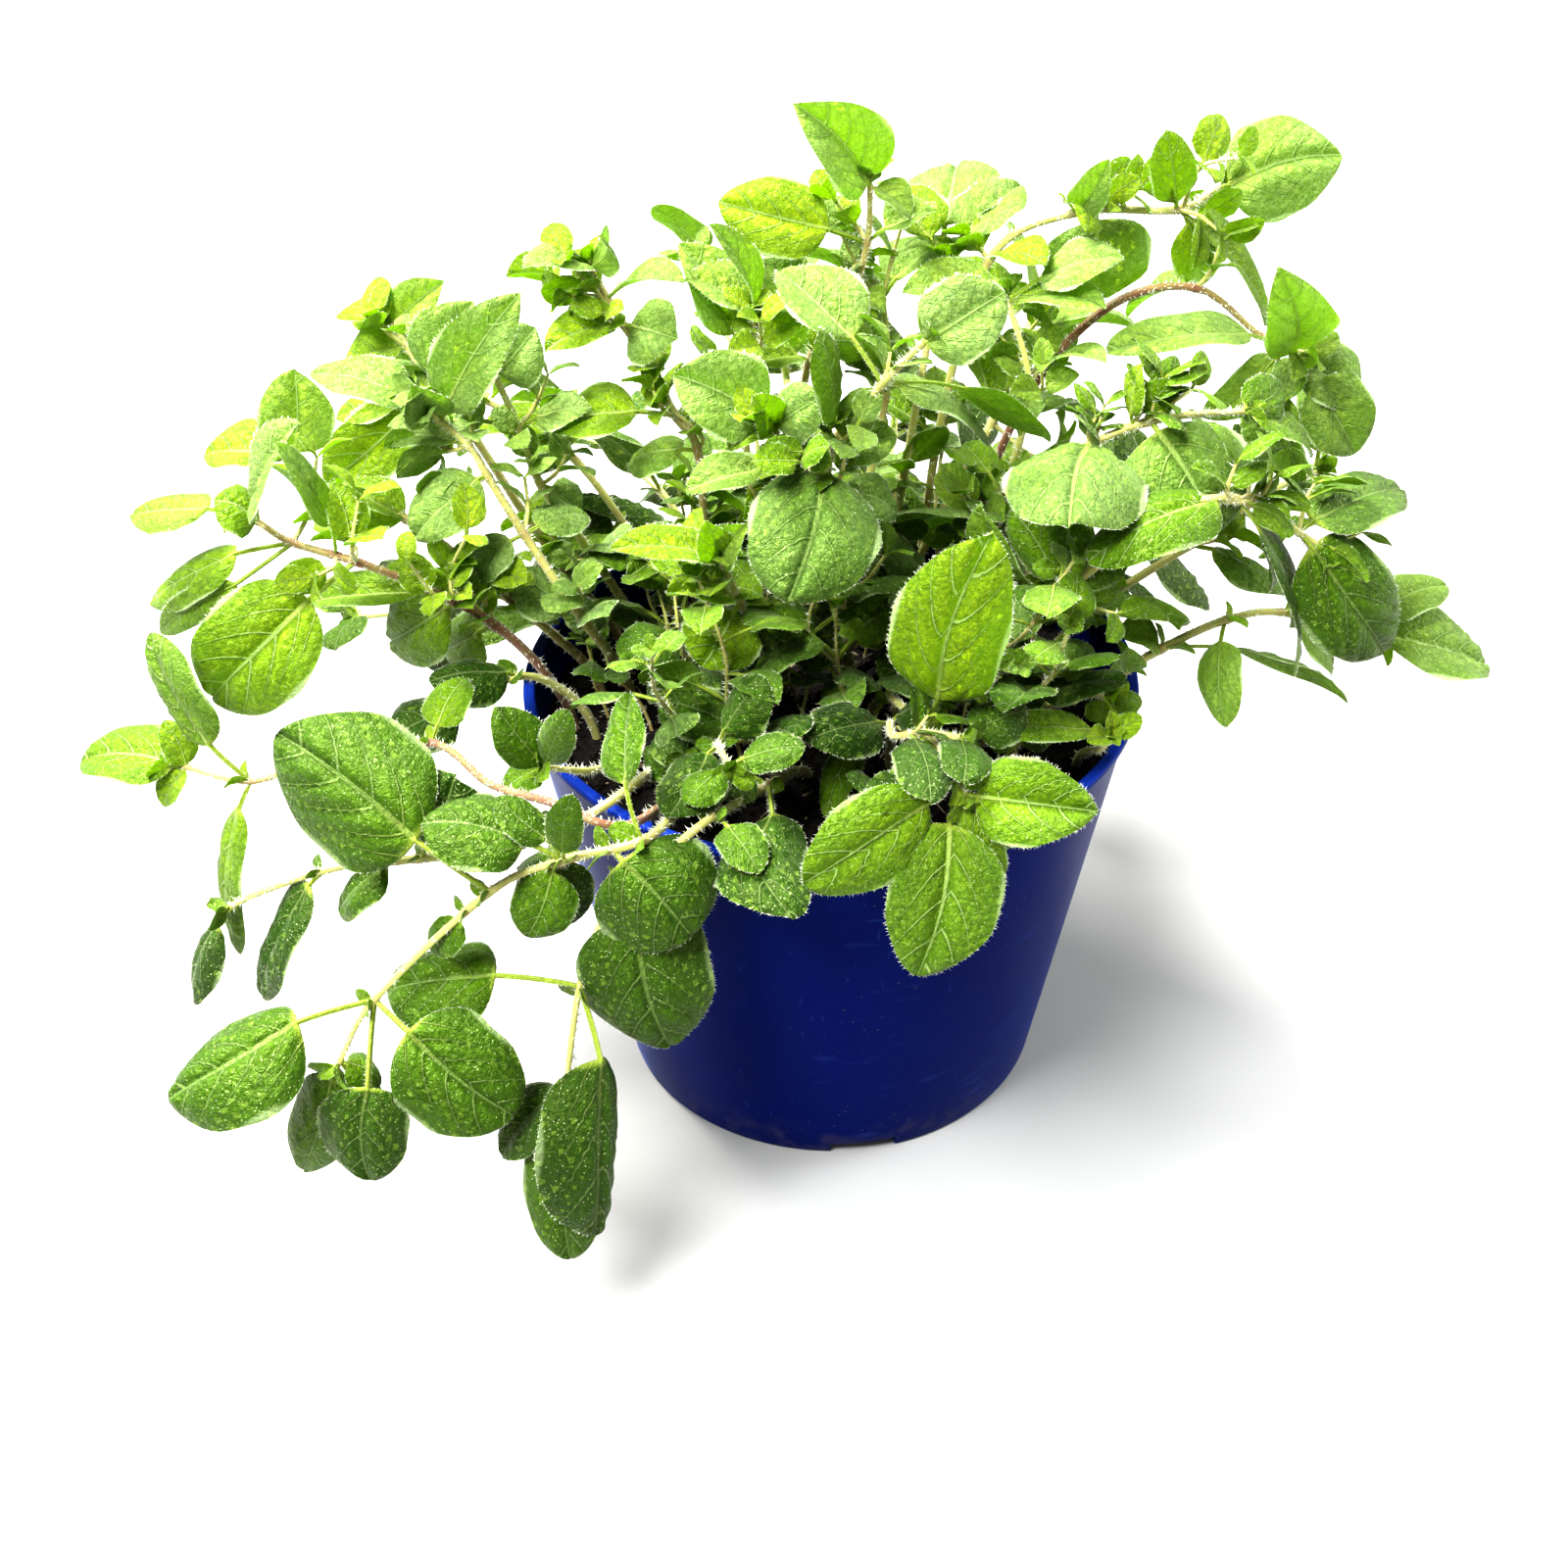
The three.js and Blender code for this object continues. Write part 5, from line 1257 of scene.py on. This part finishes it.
LEAF_GREEN, STEM_BARK, PALE_HAIR, POT_PLASTIC = leaf_green(), stem_bark(), pale_hair(), pot_plastic()
PEAT = peat("peat", (0.0012, 0.0009, 0.0007), (0.006, 0.0042, 0.003), (0.030, 0.021, 0.013))
CRUMB = peat("crumb", (0.0018, 0.0013, 0.0009), (0.010, 0.007, 0.0045), (0.050, 0.036, 0.022))
STRAW = peat("chaff", (0.17, 0.12, 0.075), (0.42, 0.33, 0.22), (0.60, 0.52, 0.40))


# ---------------------------------------------------------------- pot
TURNING = {"sides": 192, "longest_step": 6.0, "corner_steps": 4, "hub": 0.01}
POT_EDGES = {"foot": 1.1, "under_bead": 0.5, "lip": 0.7, "inside_foot": 2.2, "bead_rise": 0.8, "cuts": 0.22}
HOLE_SIDES = 32


def wall_radius(z):
    under_bead = POT["rim_radius"] - POT["bead_width"]
    return POT["base_radius"] + (under_bead - POT["base_radius"]) * (z / POT["height"])


def inside_radius(z):
    return wall_radius(z) - POT["wall"]


def turned(profile, sides):
    """Points and faces of a closed profile of [radius, height] turned about the vertical axis."""
    angle = angles(sides)
    ring = np.stack([np.cos(angle), np.sin(angle)], axis=1)
    points = np.array([[*(r * ring[k]), z] for r, z in profile for k in range(sides)])
    faces = []
    for i in range(len(profile)):
        a, b = i * sides, (i + 1) % len(profile) * sides
        faces += [[a + k, b + k, b + (k + 1) % sides, a + (k + 1) % sides] for k in range(sides)]
    return points, np.array(faces)


def rounded(corners):
    """The profile of corners that are [radius, height, radius of the rounding of that corner]."""
    corners = np.array(corners, float)
    places = corners[:, :2]
    profile = []
    for i, (*corner, rounding) in enumerate(corners):
        corner = np.array(corner)
        if rounding == 0:
            profile.append(corner)
            continue
        a = corner + unit(places[i - 1] - corner) * rounding
        b = corner + unit(places[(i + 1) % len(places)] - corner) * rounding
        for t in np.linspace(0, 1, TURNING["corner_steps"]):
            profile.append(a * (1 - t) ** 2 + corner * 2 * t * (1 - t) + b * t**2)
    return profile


def subdivided(profile, most):
    """The profile with points added so that no step is longer than most."""
    out = []
    for a, b in zip(profile, profile[1:] + profile[:1]):
        steps = max(1, int(np.ceil(np.linalg.norm(np.subtract(b, a)) / most)))
        out += [a + (b - a) * k / steps for k in range(steps)]
    return out


def plain_object(name, points, faces):
    """An object of a mesh that is made as it is. Points are in mm."""
    mesh = bpy.data.meshes.new(name)
    mesh.from_pydata([tuple(np.array(p) * MM) for p in points], [], faces)
    obj = bpy.data.objects.new(name, mesh)
    bpy.context.scene.collection.objects.link(obj)
    return obj


def cut(obj, tools, bevel):
    """Subtract the tools from a piece, soften its sharp edges, and keep the result as its mesh."""
    for tool in tools:
        step = obj.modifiers.new("cut", "BOOLEAN")
        step.object, step.operation, step.solver = tool, "DIFFERENCE", "EXACT"
    edge = obj.modifiers.new("edge", "BEVEL")
    edge.width, edge.segments, edge.limit_method, edge.angle_limit = bevel * MM, 2, "ANGLE", math.radians(50)
    shaped = bpy.data.meshes.new_from_object(obj.evaluated_get(bpy.context.evaluated_depsgraph_get()))
    obj.modifiers.clear()
    obj.data = shaped
    for tool in tools:
        bpy.data.objects.remove(tool)
    shaped.shade_smooth()
    shaped.set_sharp_from_angle(angle=math.radians(40))


def notch_cutter(angle):
    """A box that cuts one drainage channel under the base, out to the foot."""
    out = np.array([math.cos(angle), math.sin(angle), 0])
    side = np.array([-math.sin(angle), math.cos(angle), 0])
    box = [out * r + side * s * FOOT["notch_width"] / 2 + [0, 0, z]
           for r in (FOOT["pad"], POT["base_radius"] + 5) for s in (-1, 1) for z in (-3, FOOT["lift"])]
    sides = [(0, 1, 3, 2), (4, 6, 7, 5), (0, 4, 5, 1), (2, 3, 7, 6), (0, 2, 6, 4), (1, 5, 7, 3)]
    return plain_object("cutter", box, sides)


def hole_cutter(angle):
    """A tube that cuts one drainage hole."""
    centre = DRAIN["circle"] * np.array([math.cos(angle), math.sin(angle), 0])
    tube = [centre + [DRAIN["radius"] * math.cos(a), DRAIN["radius"] * math.sin(a), z]
            for z in (-10, 10) for a in angles(HOLE_SIDES)]
    ring = range(HOLE_SIDES)
    faces = [(k, (k + 1) % HOLE_SIDES, HOLE_SIDES + (k + 1) % HOLE_SIDES, HOLE_SIDES + k) for k in ring]
    ends = [tuple(ring)[::-1], tuple(range(HOLE_SIDES, 2 * HOLE_SIDES))]
    return plain_object("cutter", tube, faces + ends)


def pot():
    height, rim, edge, hub = POT["height"], POT["rim_radius"], POT_EDGES, TURNING["hub"]
    floor, bead = FOOT["lift"] + POT["wall"], height - POT["bead_height"]
    profile = rounded([
        (hub, 0, 0), (POT["base_radius"], 0, edge["foot"]), (wall_radius(bead), bead, edge["under_bead"]),
        (rim, bead + edge["bead_rise"], edge["under_bead"]), (rim, height, edge["lip"]),
        (inside_radius(height), height, edge["lip"]), (inside_radius(floor), floor, edge["inside_foot"]),
        (hub, floor, 0),
    ])
    points, faces = turned(subdivided(profile, TURNING["longest_step"]), TURNING["sides"])
    body = Body()
    body.add(points, faces[:, ::-1], 0)
    obj = body.make("pot_shell", [POT_PLASTIC])
    notches, holes = FOOT["notches"], DRAIN["holes"]
    tools = [notch_cutter(math.radians(-90 + FOOT["notch_turn"] + i * 360 / notches)) for i in range(notches)]
    tools += [hole_cutter(math.radians(DRAIN["turn"] + i * 360 / holes)) for i in range(holes)]
    cut(obj, tools, edge["cuts"])
    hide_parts("pot")


# ---------------------------------------------------------------- soil
PEAT_SLOT, CRUMB_SLOT, CHAFF_SLOT = 0, 1, 2
SOIL_SHEET = {"rings": 46, "spokes": 150, "from_wall": 0.15, "rough": 0.14, "raised": 0.3, "worn_edge": 1.4}
CRUMBS = {"count": 1700, "small": 0.45, "large": 2.1, "stretch": (0.75, 0.5), "raised": 0.25}
CHAFF = {"count": 170, "size": (0.35, 0.5), "shape": ((0.35, 0.3), (0.5, 0.4), (1.2, 2.4)), "raised": 0.5}
LUMPINESS = (0.72, 0.56)
FIBRES = {"count": 26, "length": (5, 9), "radius": 0.16, "sides": 6, "points": 9, "bend": 1.6, "lift": 0.5}
SOIL_WAVES = [  # each is [wavelength in mm, direction, phase, height in mm]
    (31, 0.4, 0.2, 0.55), (23, 2.1, 1.7, 0.45), (17, 1.2, 4.0, 0.35), (11, 2.8, 2.2, 0.30),
    (8.3, 0.9, 5.1, 0.26), (6.1, 1.9, 0.7, 0.24), (4.7, 0.1, 3.3, 0.22), (3.6, 2.5, 1.1, 0.20),
    (2.9, 1.5, 2.6, 0.17),
]


def soil_level(x, y):
    """Height of the soil, with low lumps that fade out at the wall."""
    share = np.hypot(x, y) / inside_radius(SOIL["top"])
    lumps = np.zeros_like(x)
    for length, turn, phase, height in SOIL_WAVES:
        lumps += height * np.sin((x * math.cos(turn) + y * math.sin(turn)) * 2 * math.pi / length + phase)
    level = SOIL["top"] + SOIL_SHEET["raised"] + lumps * (1 - share**8)
    return level - SOIL_SHEET["worn_edge"] * np.clip(share, 0, 1) ** 10


def icosahedron():
    g = (1 + 5**0.5) / 2
    points = np.array([[-1, g, 0], [1, g, 0], [-1, -g, 0], [1, -g, 0], [0, -1, g], [0, 1, g], [0, -1, -g],
                       [0, 1, -g], [g, 0, -1], [g, 0, 1], [-g, 0, -1], [-g, 0, 1]])
    faces = [[0, 11, 5], [0, 5, 1], [0, 1, 7], [0, 7, 10], [0, 10, 11], [1, 5, 9], [5, 11, 4],
             [11, 10, 2], [10, 7, 6], [7, 1, 8], [3, 9, 4], [3, 4, 2], [3, 2, 6], [3, 6, 8],
             [3, 8, 9], [4, 9, 5], [2, 4, 11], [6, 2, 10], [8, 6, 7], [9, 8, 1]]
    return unit(points.astype(float)), np.array(faces)


def add_lumps(body, slot, places, sizes, stretch, rng):
    """Rough lumps: icosahedra pulled out of shape, turned at random."""
    shape, faces = icosahedron()
    count = len(places)
    rough = shape[None] * drawn(rng, LUMPINESS, (count, len(shape), 1))
    rough = rough * stretch(count)[:, None] * sizes[:, None, None]
    axes, _ = np.linalg.qr(rng.normal(size=(count, 3, 3)))
    axes *= np.sign(np.linalg.det(axes))[:, None, None]
    points = np.einsum("nij,npj->npi", axes, rough) + places[:, None]
    start = len(shape) * np.arange(count)[:, None, None]
    body.add(points, (faces[None] + start).reshape(-1, 3), slot)


def on_soil(count, rng, reach=1.0):
    """Random places on the soil, out to a share of its width."""
    turn, r = rng.random(count) * FULL_TURN, (inside_radius(SOIL["top"]) - 1.6) * rng.random(count) ** 0.5
    x, y = r * np.cos(turn) * reach, r * np.sin(turn) * reach
    return x, y, soil_level(x, y)


def add_fibre(body, path):
    """A closed round root fibre along a path."""
    sides, radius = FIBRES["sides"], FIBRES["radius"]
    _, side, other = frames_along(path)
    angle = angles(sides)
    ring = side[:, None] * np.cos(angle)[None, :, None] + other[:, None] * np.sin(angle)[None, :, None]
    points = path[:, None] + ring * radius
    body.add(points, grid_faces(len(path), sides, wrapped=True), CHAFF_SLOT)
    body.add_cap(points[0][::-1], CHAFF_SLOT)
    body.add_cap(points[-1], CHAFF_SLOT)


def add_peat(body, edge, rng):
    """The closed body of peat: its lumpy top, its taper inside the pot's wall, and its flat underside."""
    rings, spokes = SOIL_SHEET["rings"], SOIL_SHEET["spokes"]
    share = np.linspace(0.004, 1, rings) ** 0.8
    angle = angles(spokes)
    R, A = np.meshgrid(share * edge, angle, indexing="ij")
    X, Y = R * np.cos(A), R * np.sin(A)
    Z = soil_level(X, Y) + rng.normal(size=X.shape) * SOIL_SHEET["rough"]
    top = np.stack([X, Y, Z], axis=-1)
    bottom = FOOT["lift"] + POT["wall"] + SOIL["gap"]
    levels = [(inside_radius(60) - 0.3, 60), (inside_radius(bottom) - SOIL["gap"], bottom), (0.2, bottom)]
    under = [np.stack([r * np.cos(angle), r * np.sin(angle), np.full(spokes, float(z))], axis=-1)
             for r, z in levels]
    faces = grid_faces(rings + len(levels), spokes, wrapped=True)
    body.add(np.concatenate([top, np.array(under)]), faces, PEAT_SLOT)
    body.add_cap(top[0], PEAT_SLOT)
    body.add_cap(under[-1][::-1], PEAT_SLOT)


def soil():
    rng = np.random.default_rng(SEEDS["soil"])
    body = Body()
    edge = inside_radius(SOIL["top"]) - SOIL_SHEET["from_wall"]
    add_peat(body, edge, rng)

    count = int(CRUMBS["count"] * QUICK_SHARE)
    sizes = CRUMBS["small"] * (CRUMBS["large"] / CRUMBS["small"]) ** (rng.random(count) ** 2.4)
    x, y, z = on_soil(count, rng)
    places = np.stack([x, y, z + sizes * CRUMBS["raised"]], axis=1)
    add_lumps(body, CRUMB_SLOT, places, sizes, lambda n: drawn(rng, CRUMBS["stretch"], (n, 3)), rng)

    count = int(CHAFF["count"] * QUICK_SHARE)
    x, y, z = on_soil(count, rng)
    places = np.stack([x, y, z + CHAFF["raised"]], axis=1)
    add_lumps(body, CHAFF_SLOT, places, drawn(rng, CHAFF["size"], count),
              lambda n: np.stack([drawn(rng, span, n) for span in CHAFF["shape"]], 1), rng)

    for x, y, z in zip(*on_soil(FIBRES["count"], rng, 0.95)):
        turn, length = rng.random() * 6.3, drawn(rng, FIBRES["length"])
        t = np.linspace(0, 1, FIBRES["points"])
        bend = (rng.random() - 0.5) * FIBRES["bend"]
        px = x + length * t * np.cos(turn + bend * t)
        py = y + length * t * np.sin(turn + bend * t)
        inside = np.minimum(1, (edge - 1) / np.hypot(px, py))
        px, py = px * inside, py * inside
        height = soil_level(px, py) + FIBRES["lift"] + 0.8 * np.sin(t * 5)
        add_fibre(body, np.stack([px, py, height], axis=1))
    obj = body.make("soil_peat", [PEAT, CRUMB, STRAW])
    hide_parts("soil")


# ---------------------------------------------------------------- undergrowth
# Seedlings and low shoots between the stems. A group is [name, bearings between which it grows in degrees,
# count, distances from the pot's axis between which it grows, least and most height, width of its leaves].
UNDERGROWTH_GROUPS = [
    ("front", (180, 360), 12, (8, 50), (6, 26), 9.5),
    ("back", (0, 180), 20, (6, 53), (9, 36), 9.5),
    ("inner_left", (90, 270), 9, (3, 38), (38, 76), 12.0),
    ("inner_right", (-90, 90), 9, (3, 38), (38, 76), 12.0),
]
APART = 4.5  # least distance between two shoots at the soil
SEEDLING = {
    "spans": 3, "lean": 0.38, "sway": 0.05, "pair_every": 11, "most_pairs": 5, "scale": 0.36,
    "redness": (0.15, 0.3), "rise": (0.10, 0.65), "width": (0.50, 0.70), "length": (1.6, 0.5),
    "stalk": (0.28, 0.16), "face": np.array([0, -0.2, 1.0]),
}


def seedling(body, foot, height, leaf_width, rng):
    """An upright shoot with opposite pairs of round leaves, each pair turned from the last."""
    spans = SEEDLING["spans"]
    lean = np.array([*(unit(foot[:2]) * 0.15 + rng.normal(size=2) * SEEDLING["lean"]), 1.0])
    sway = np.hstack([rng.normal(size=(spans + 1, 2)) * SEEDLING["sway"] * height, np.zeros((spans + 1, 1))])
    sway[0] = 0
    points = foot + lean * height * (np.arange(spans + 1) / spans)[:, None] + sway
    pairs = int(np.clip(height / SEEDLING["pair_every"], 1, SEEDLING["most_pairs"]))
    nodes = np.linspace(spans * (0.75 if pairs == 1 else 0.40), spans - 0.35, pairs)
    redness, scale = drawn(rng, SEEDLING["redness"]), SEEDLING["scale"] + 0.0035 * height
    add_stem(body, points, nodes, redness, rng, scale)
    turn = rng.random() * math.pi
    youth, grey = 0.02 + 0.36 * rng.random() ** 2, 0.4 * rng.random()
    for i, node in enumerate(nodes):
        at = point_on(points, node)[0]
        for flip in (0, math.pi):
            bearing = turn + flip + i * math.pi / 2 + rng.normal() * 0.25
            out = unit(np.array([math.cos(bearing), math.sin(bearing), drawn(rng, SEEDLING["rise"])]))
            width = leaf_width * (1 - 0.08 * i) * drawn(rng, SEEDLING["width"])
            face = unit(np.array([0, 0, 1.0]) + rng.normal(size=3) * 0.35)
            leaf = {"root": at, "tip": at + out * width * drawn(rng, SEEDLING["length"]), "width": width,
                    "stalk": drawn(rng, SEEDLING["stalk"]), "face": face}
            add_leaf(body, leaf, min(1, youth + 0.1 * i), grey, rng, "bud")
    size = drawn(rng, BUD["small"])
    add_bud(body, points[-1], unit(lean), SEEDLING["face"], size, 2, min(1, youth + 0.3), grey, rng)


def undergrowth(taken):
    rng = np.random.default_rng(SEEDS["undergrowth"])
    for name, (start, end), count, (near, far), (short, tall), leaf_width in UNDERGROWTH_GROUPS:
        body = Body()
        placed = 0
        while placed < count:
            bearing = math.radians(start + (end - start) * rng.random())
            r = math.sqrt(near**2 + (far**2 - near**2) * rng.random())
            foot = np.array([r * math.cos(bearing), r * math.sin(bearing)])
            if min(np.hypot(*(foot - other)) for other in taken) < APART:
                continue
            taken.append(foot)
            height = (short + (tall - short) * rng.random() ** 1.3) * (1.15 - 0.45 * r / far)
            rooted = np.array([*foot, SOIL["top"] + 1.0])
            seedling(body, rooted, height, leaf_width * (0.7 + 0.4 * height / tall), rng)
            placed += 1
        obj = body.make("undergrowth_" + name, [LEAF_GREEN, PALE_HAIR, STEM_BARK])


# ---------------------------------------------------------------- stage, lights and camera
FLOOR_REACH = 4000  # mm from the axis to each side of the floor
LIT_PLACE = (0, 0, 0.12)  # m
SOFTBOXES = [  # each is [name, place in m, size in m, power in W, colour]
    ("key", (-0.62, 0.46, 1.30), 0.50, 98, (1.0, 0.98, 0.93)),
    ("overhead", (-0.45, -0.60, 1.20), 0.60, 48, (1, 1, 1)),
    ("right", (1.2, 0.35, 0.7), 0.6, 24, (0.97, 0.99, 1.0)),
]
SURROUNDINGS = {"colour": (1.0, 1.0, 0.96, 1), "strength": 0.54}
LENS = {"focal": 51.75, "sensor": 36, "shift": -0.03}


def stage():
    far = FLOOR_REACH
    corners = [(-far, -far, 0), (far, -far, 0), (far, far, 0), (-far, far, 0)]
    floor = plain_object("floor", corners, [(0, 1, 2, 3)])
    floor.data.materials.append(stage_floor())


def lights():
    for name, place, size, power, colour in SOFTBOXES:
        light = bpy.data.lights.new(name, "AREA")
        light.shape, light.size, light.energy, light.color = "DISK", size, power, colour
        obj = bpy.data.objects.new(name, light)
        obj.location = place
        obj.rotation_euler = (Vector(LIT_PLACE) - Vector(place)).to_track_quat("-Z", "Y").to_euler()
        bpy.context.scene.collection.objects.link(obj)
    world = bpy.data.worlds.new("studio")
    world.use_nodes = True
    background = world.node_tree.nodes["Background"]
    background.inputs["Color"].default_value = SURROUNDINGS["colour"]
    background.inputs["Strength"].default_value = SURROUNDINGS["strength"]
    bpy.context.scene.world = world
    bpy.context.scene.view_settings.view_transform = "Standard"
    bpy.context.scene.view_settings.look = "Medium High Contrast"


def camera():
    data = bpy.data.cameras.new("camera")
    data.lens, data.sensor_width, data.shift_x = LENS["focal"], LENS["sensor"], LENS["shift"]
    obj = bpy.data.objects.new("camera", data)
    obj.location = Vector(EYE) * MM
    obj.rotation_euler = (math.radians(90 - STATION["elevation"]), 0, 0)
    bpy.context.scene.collection.objects.link(obj)
    bpy.context.scene.camera = obj


pot()
soil()
plants = grown_plants()
for number, plant in enumerate(plants):
    leafy_stem(plant, SEEDS.get(plant["name"], SEEDS["first_stem"] + number))
undergrowth([plant["points"][0][:2] for plant in plants])
stage()
lights()
camera()
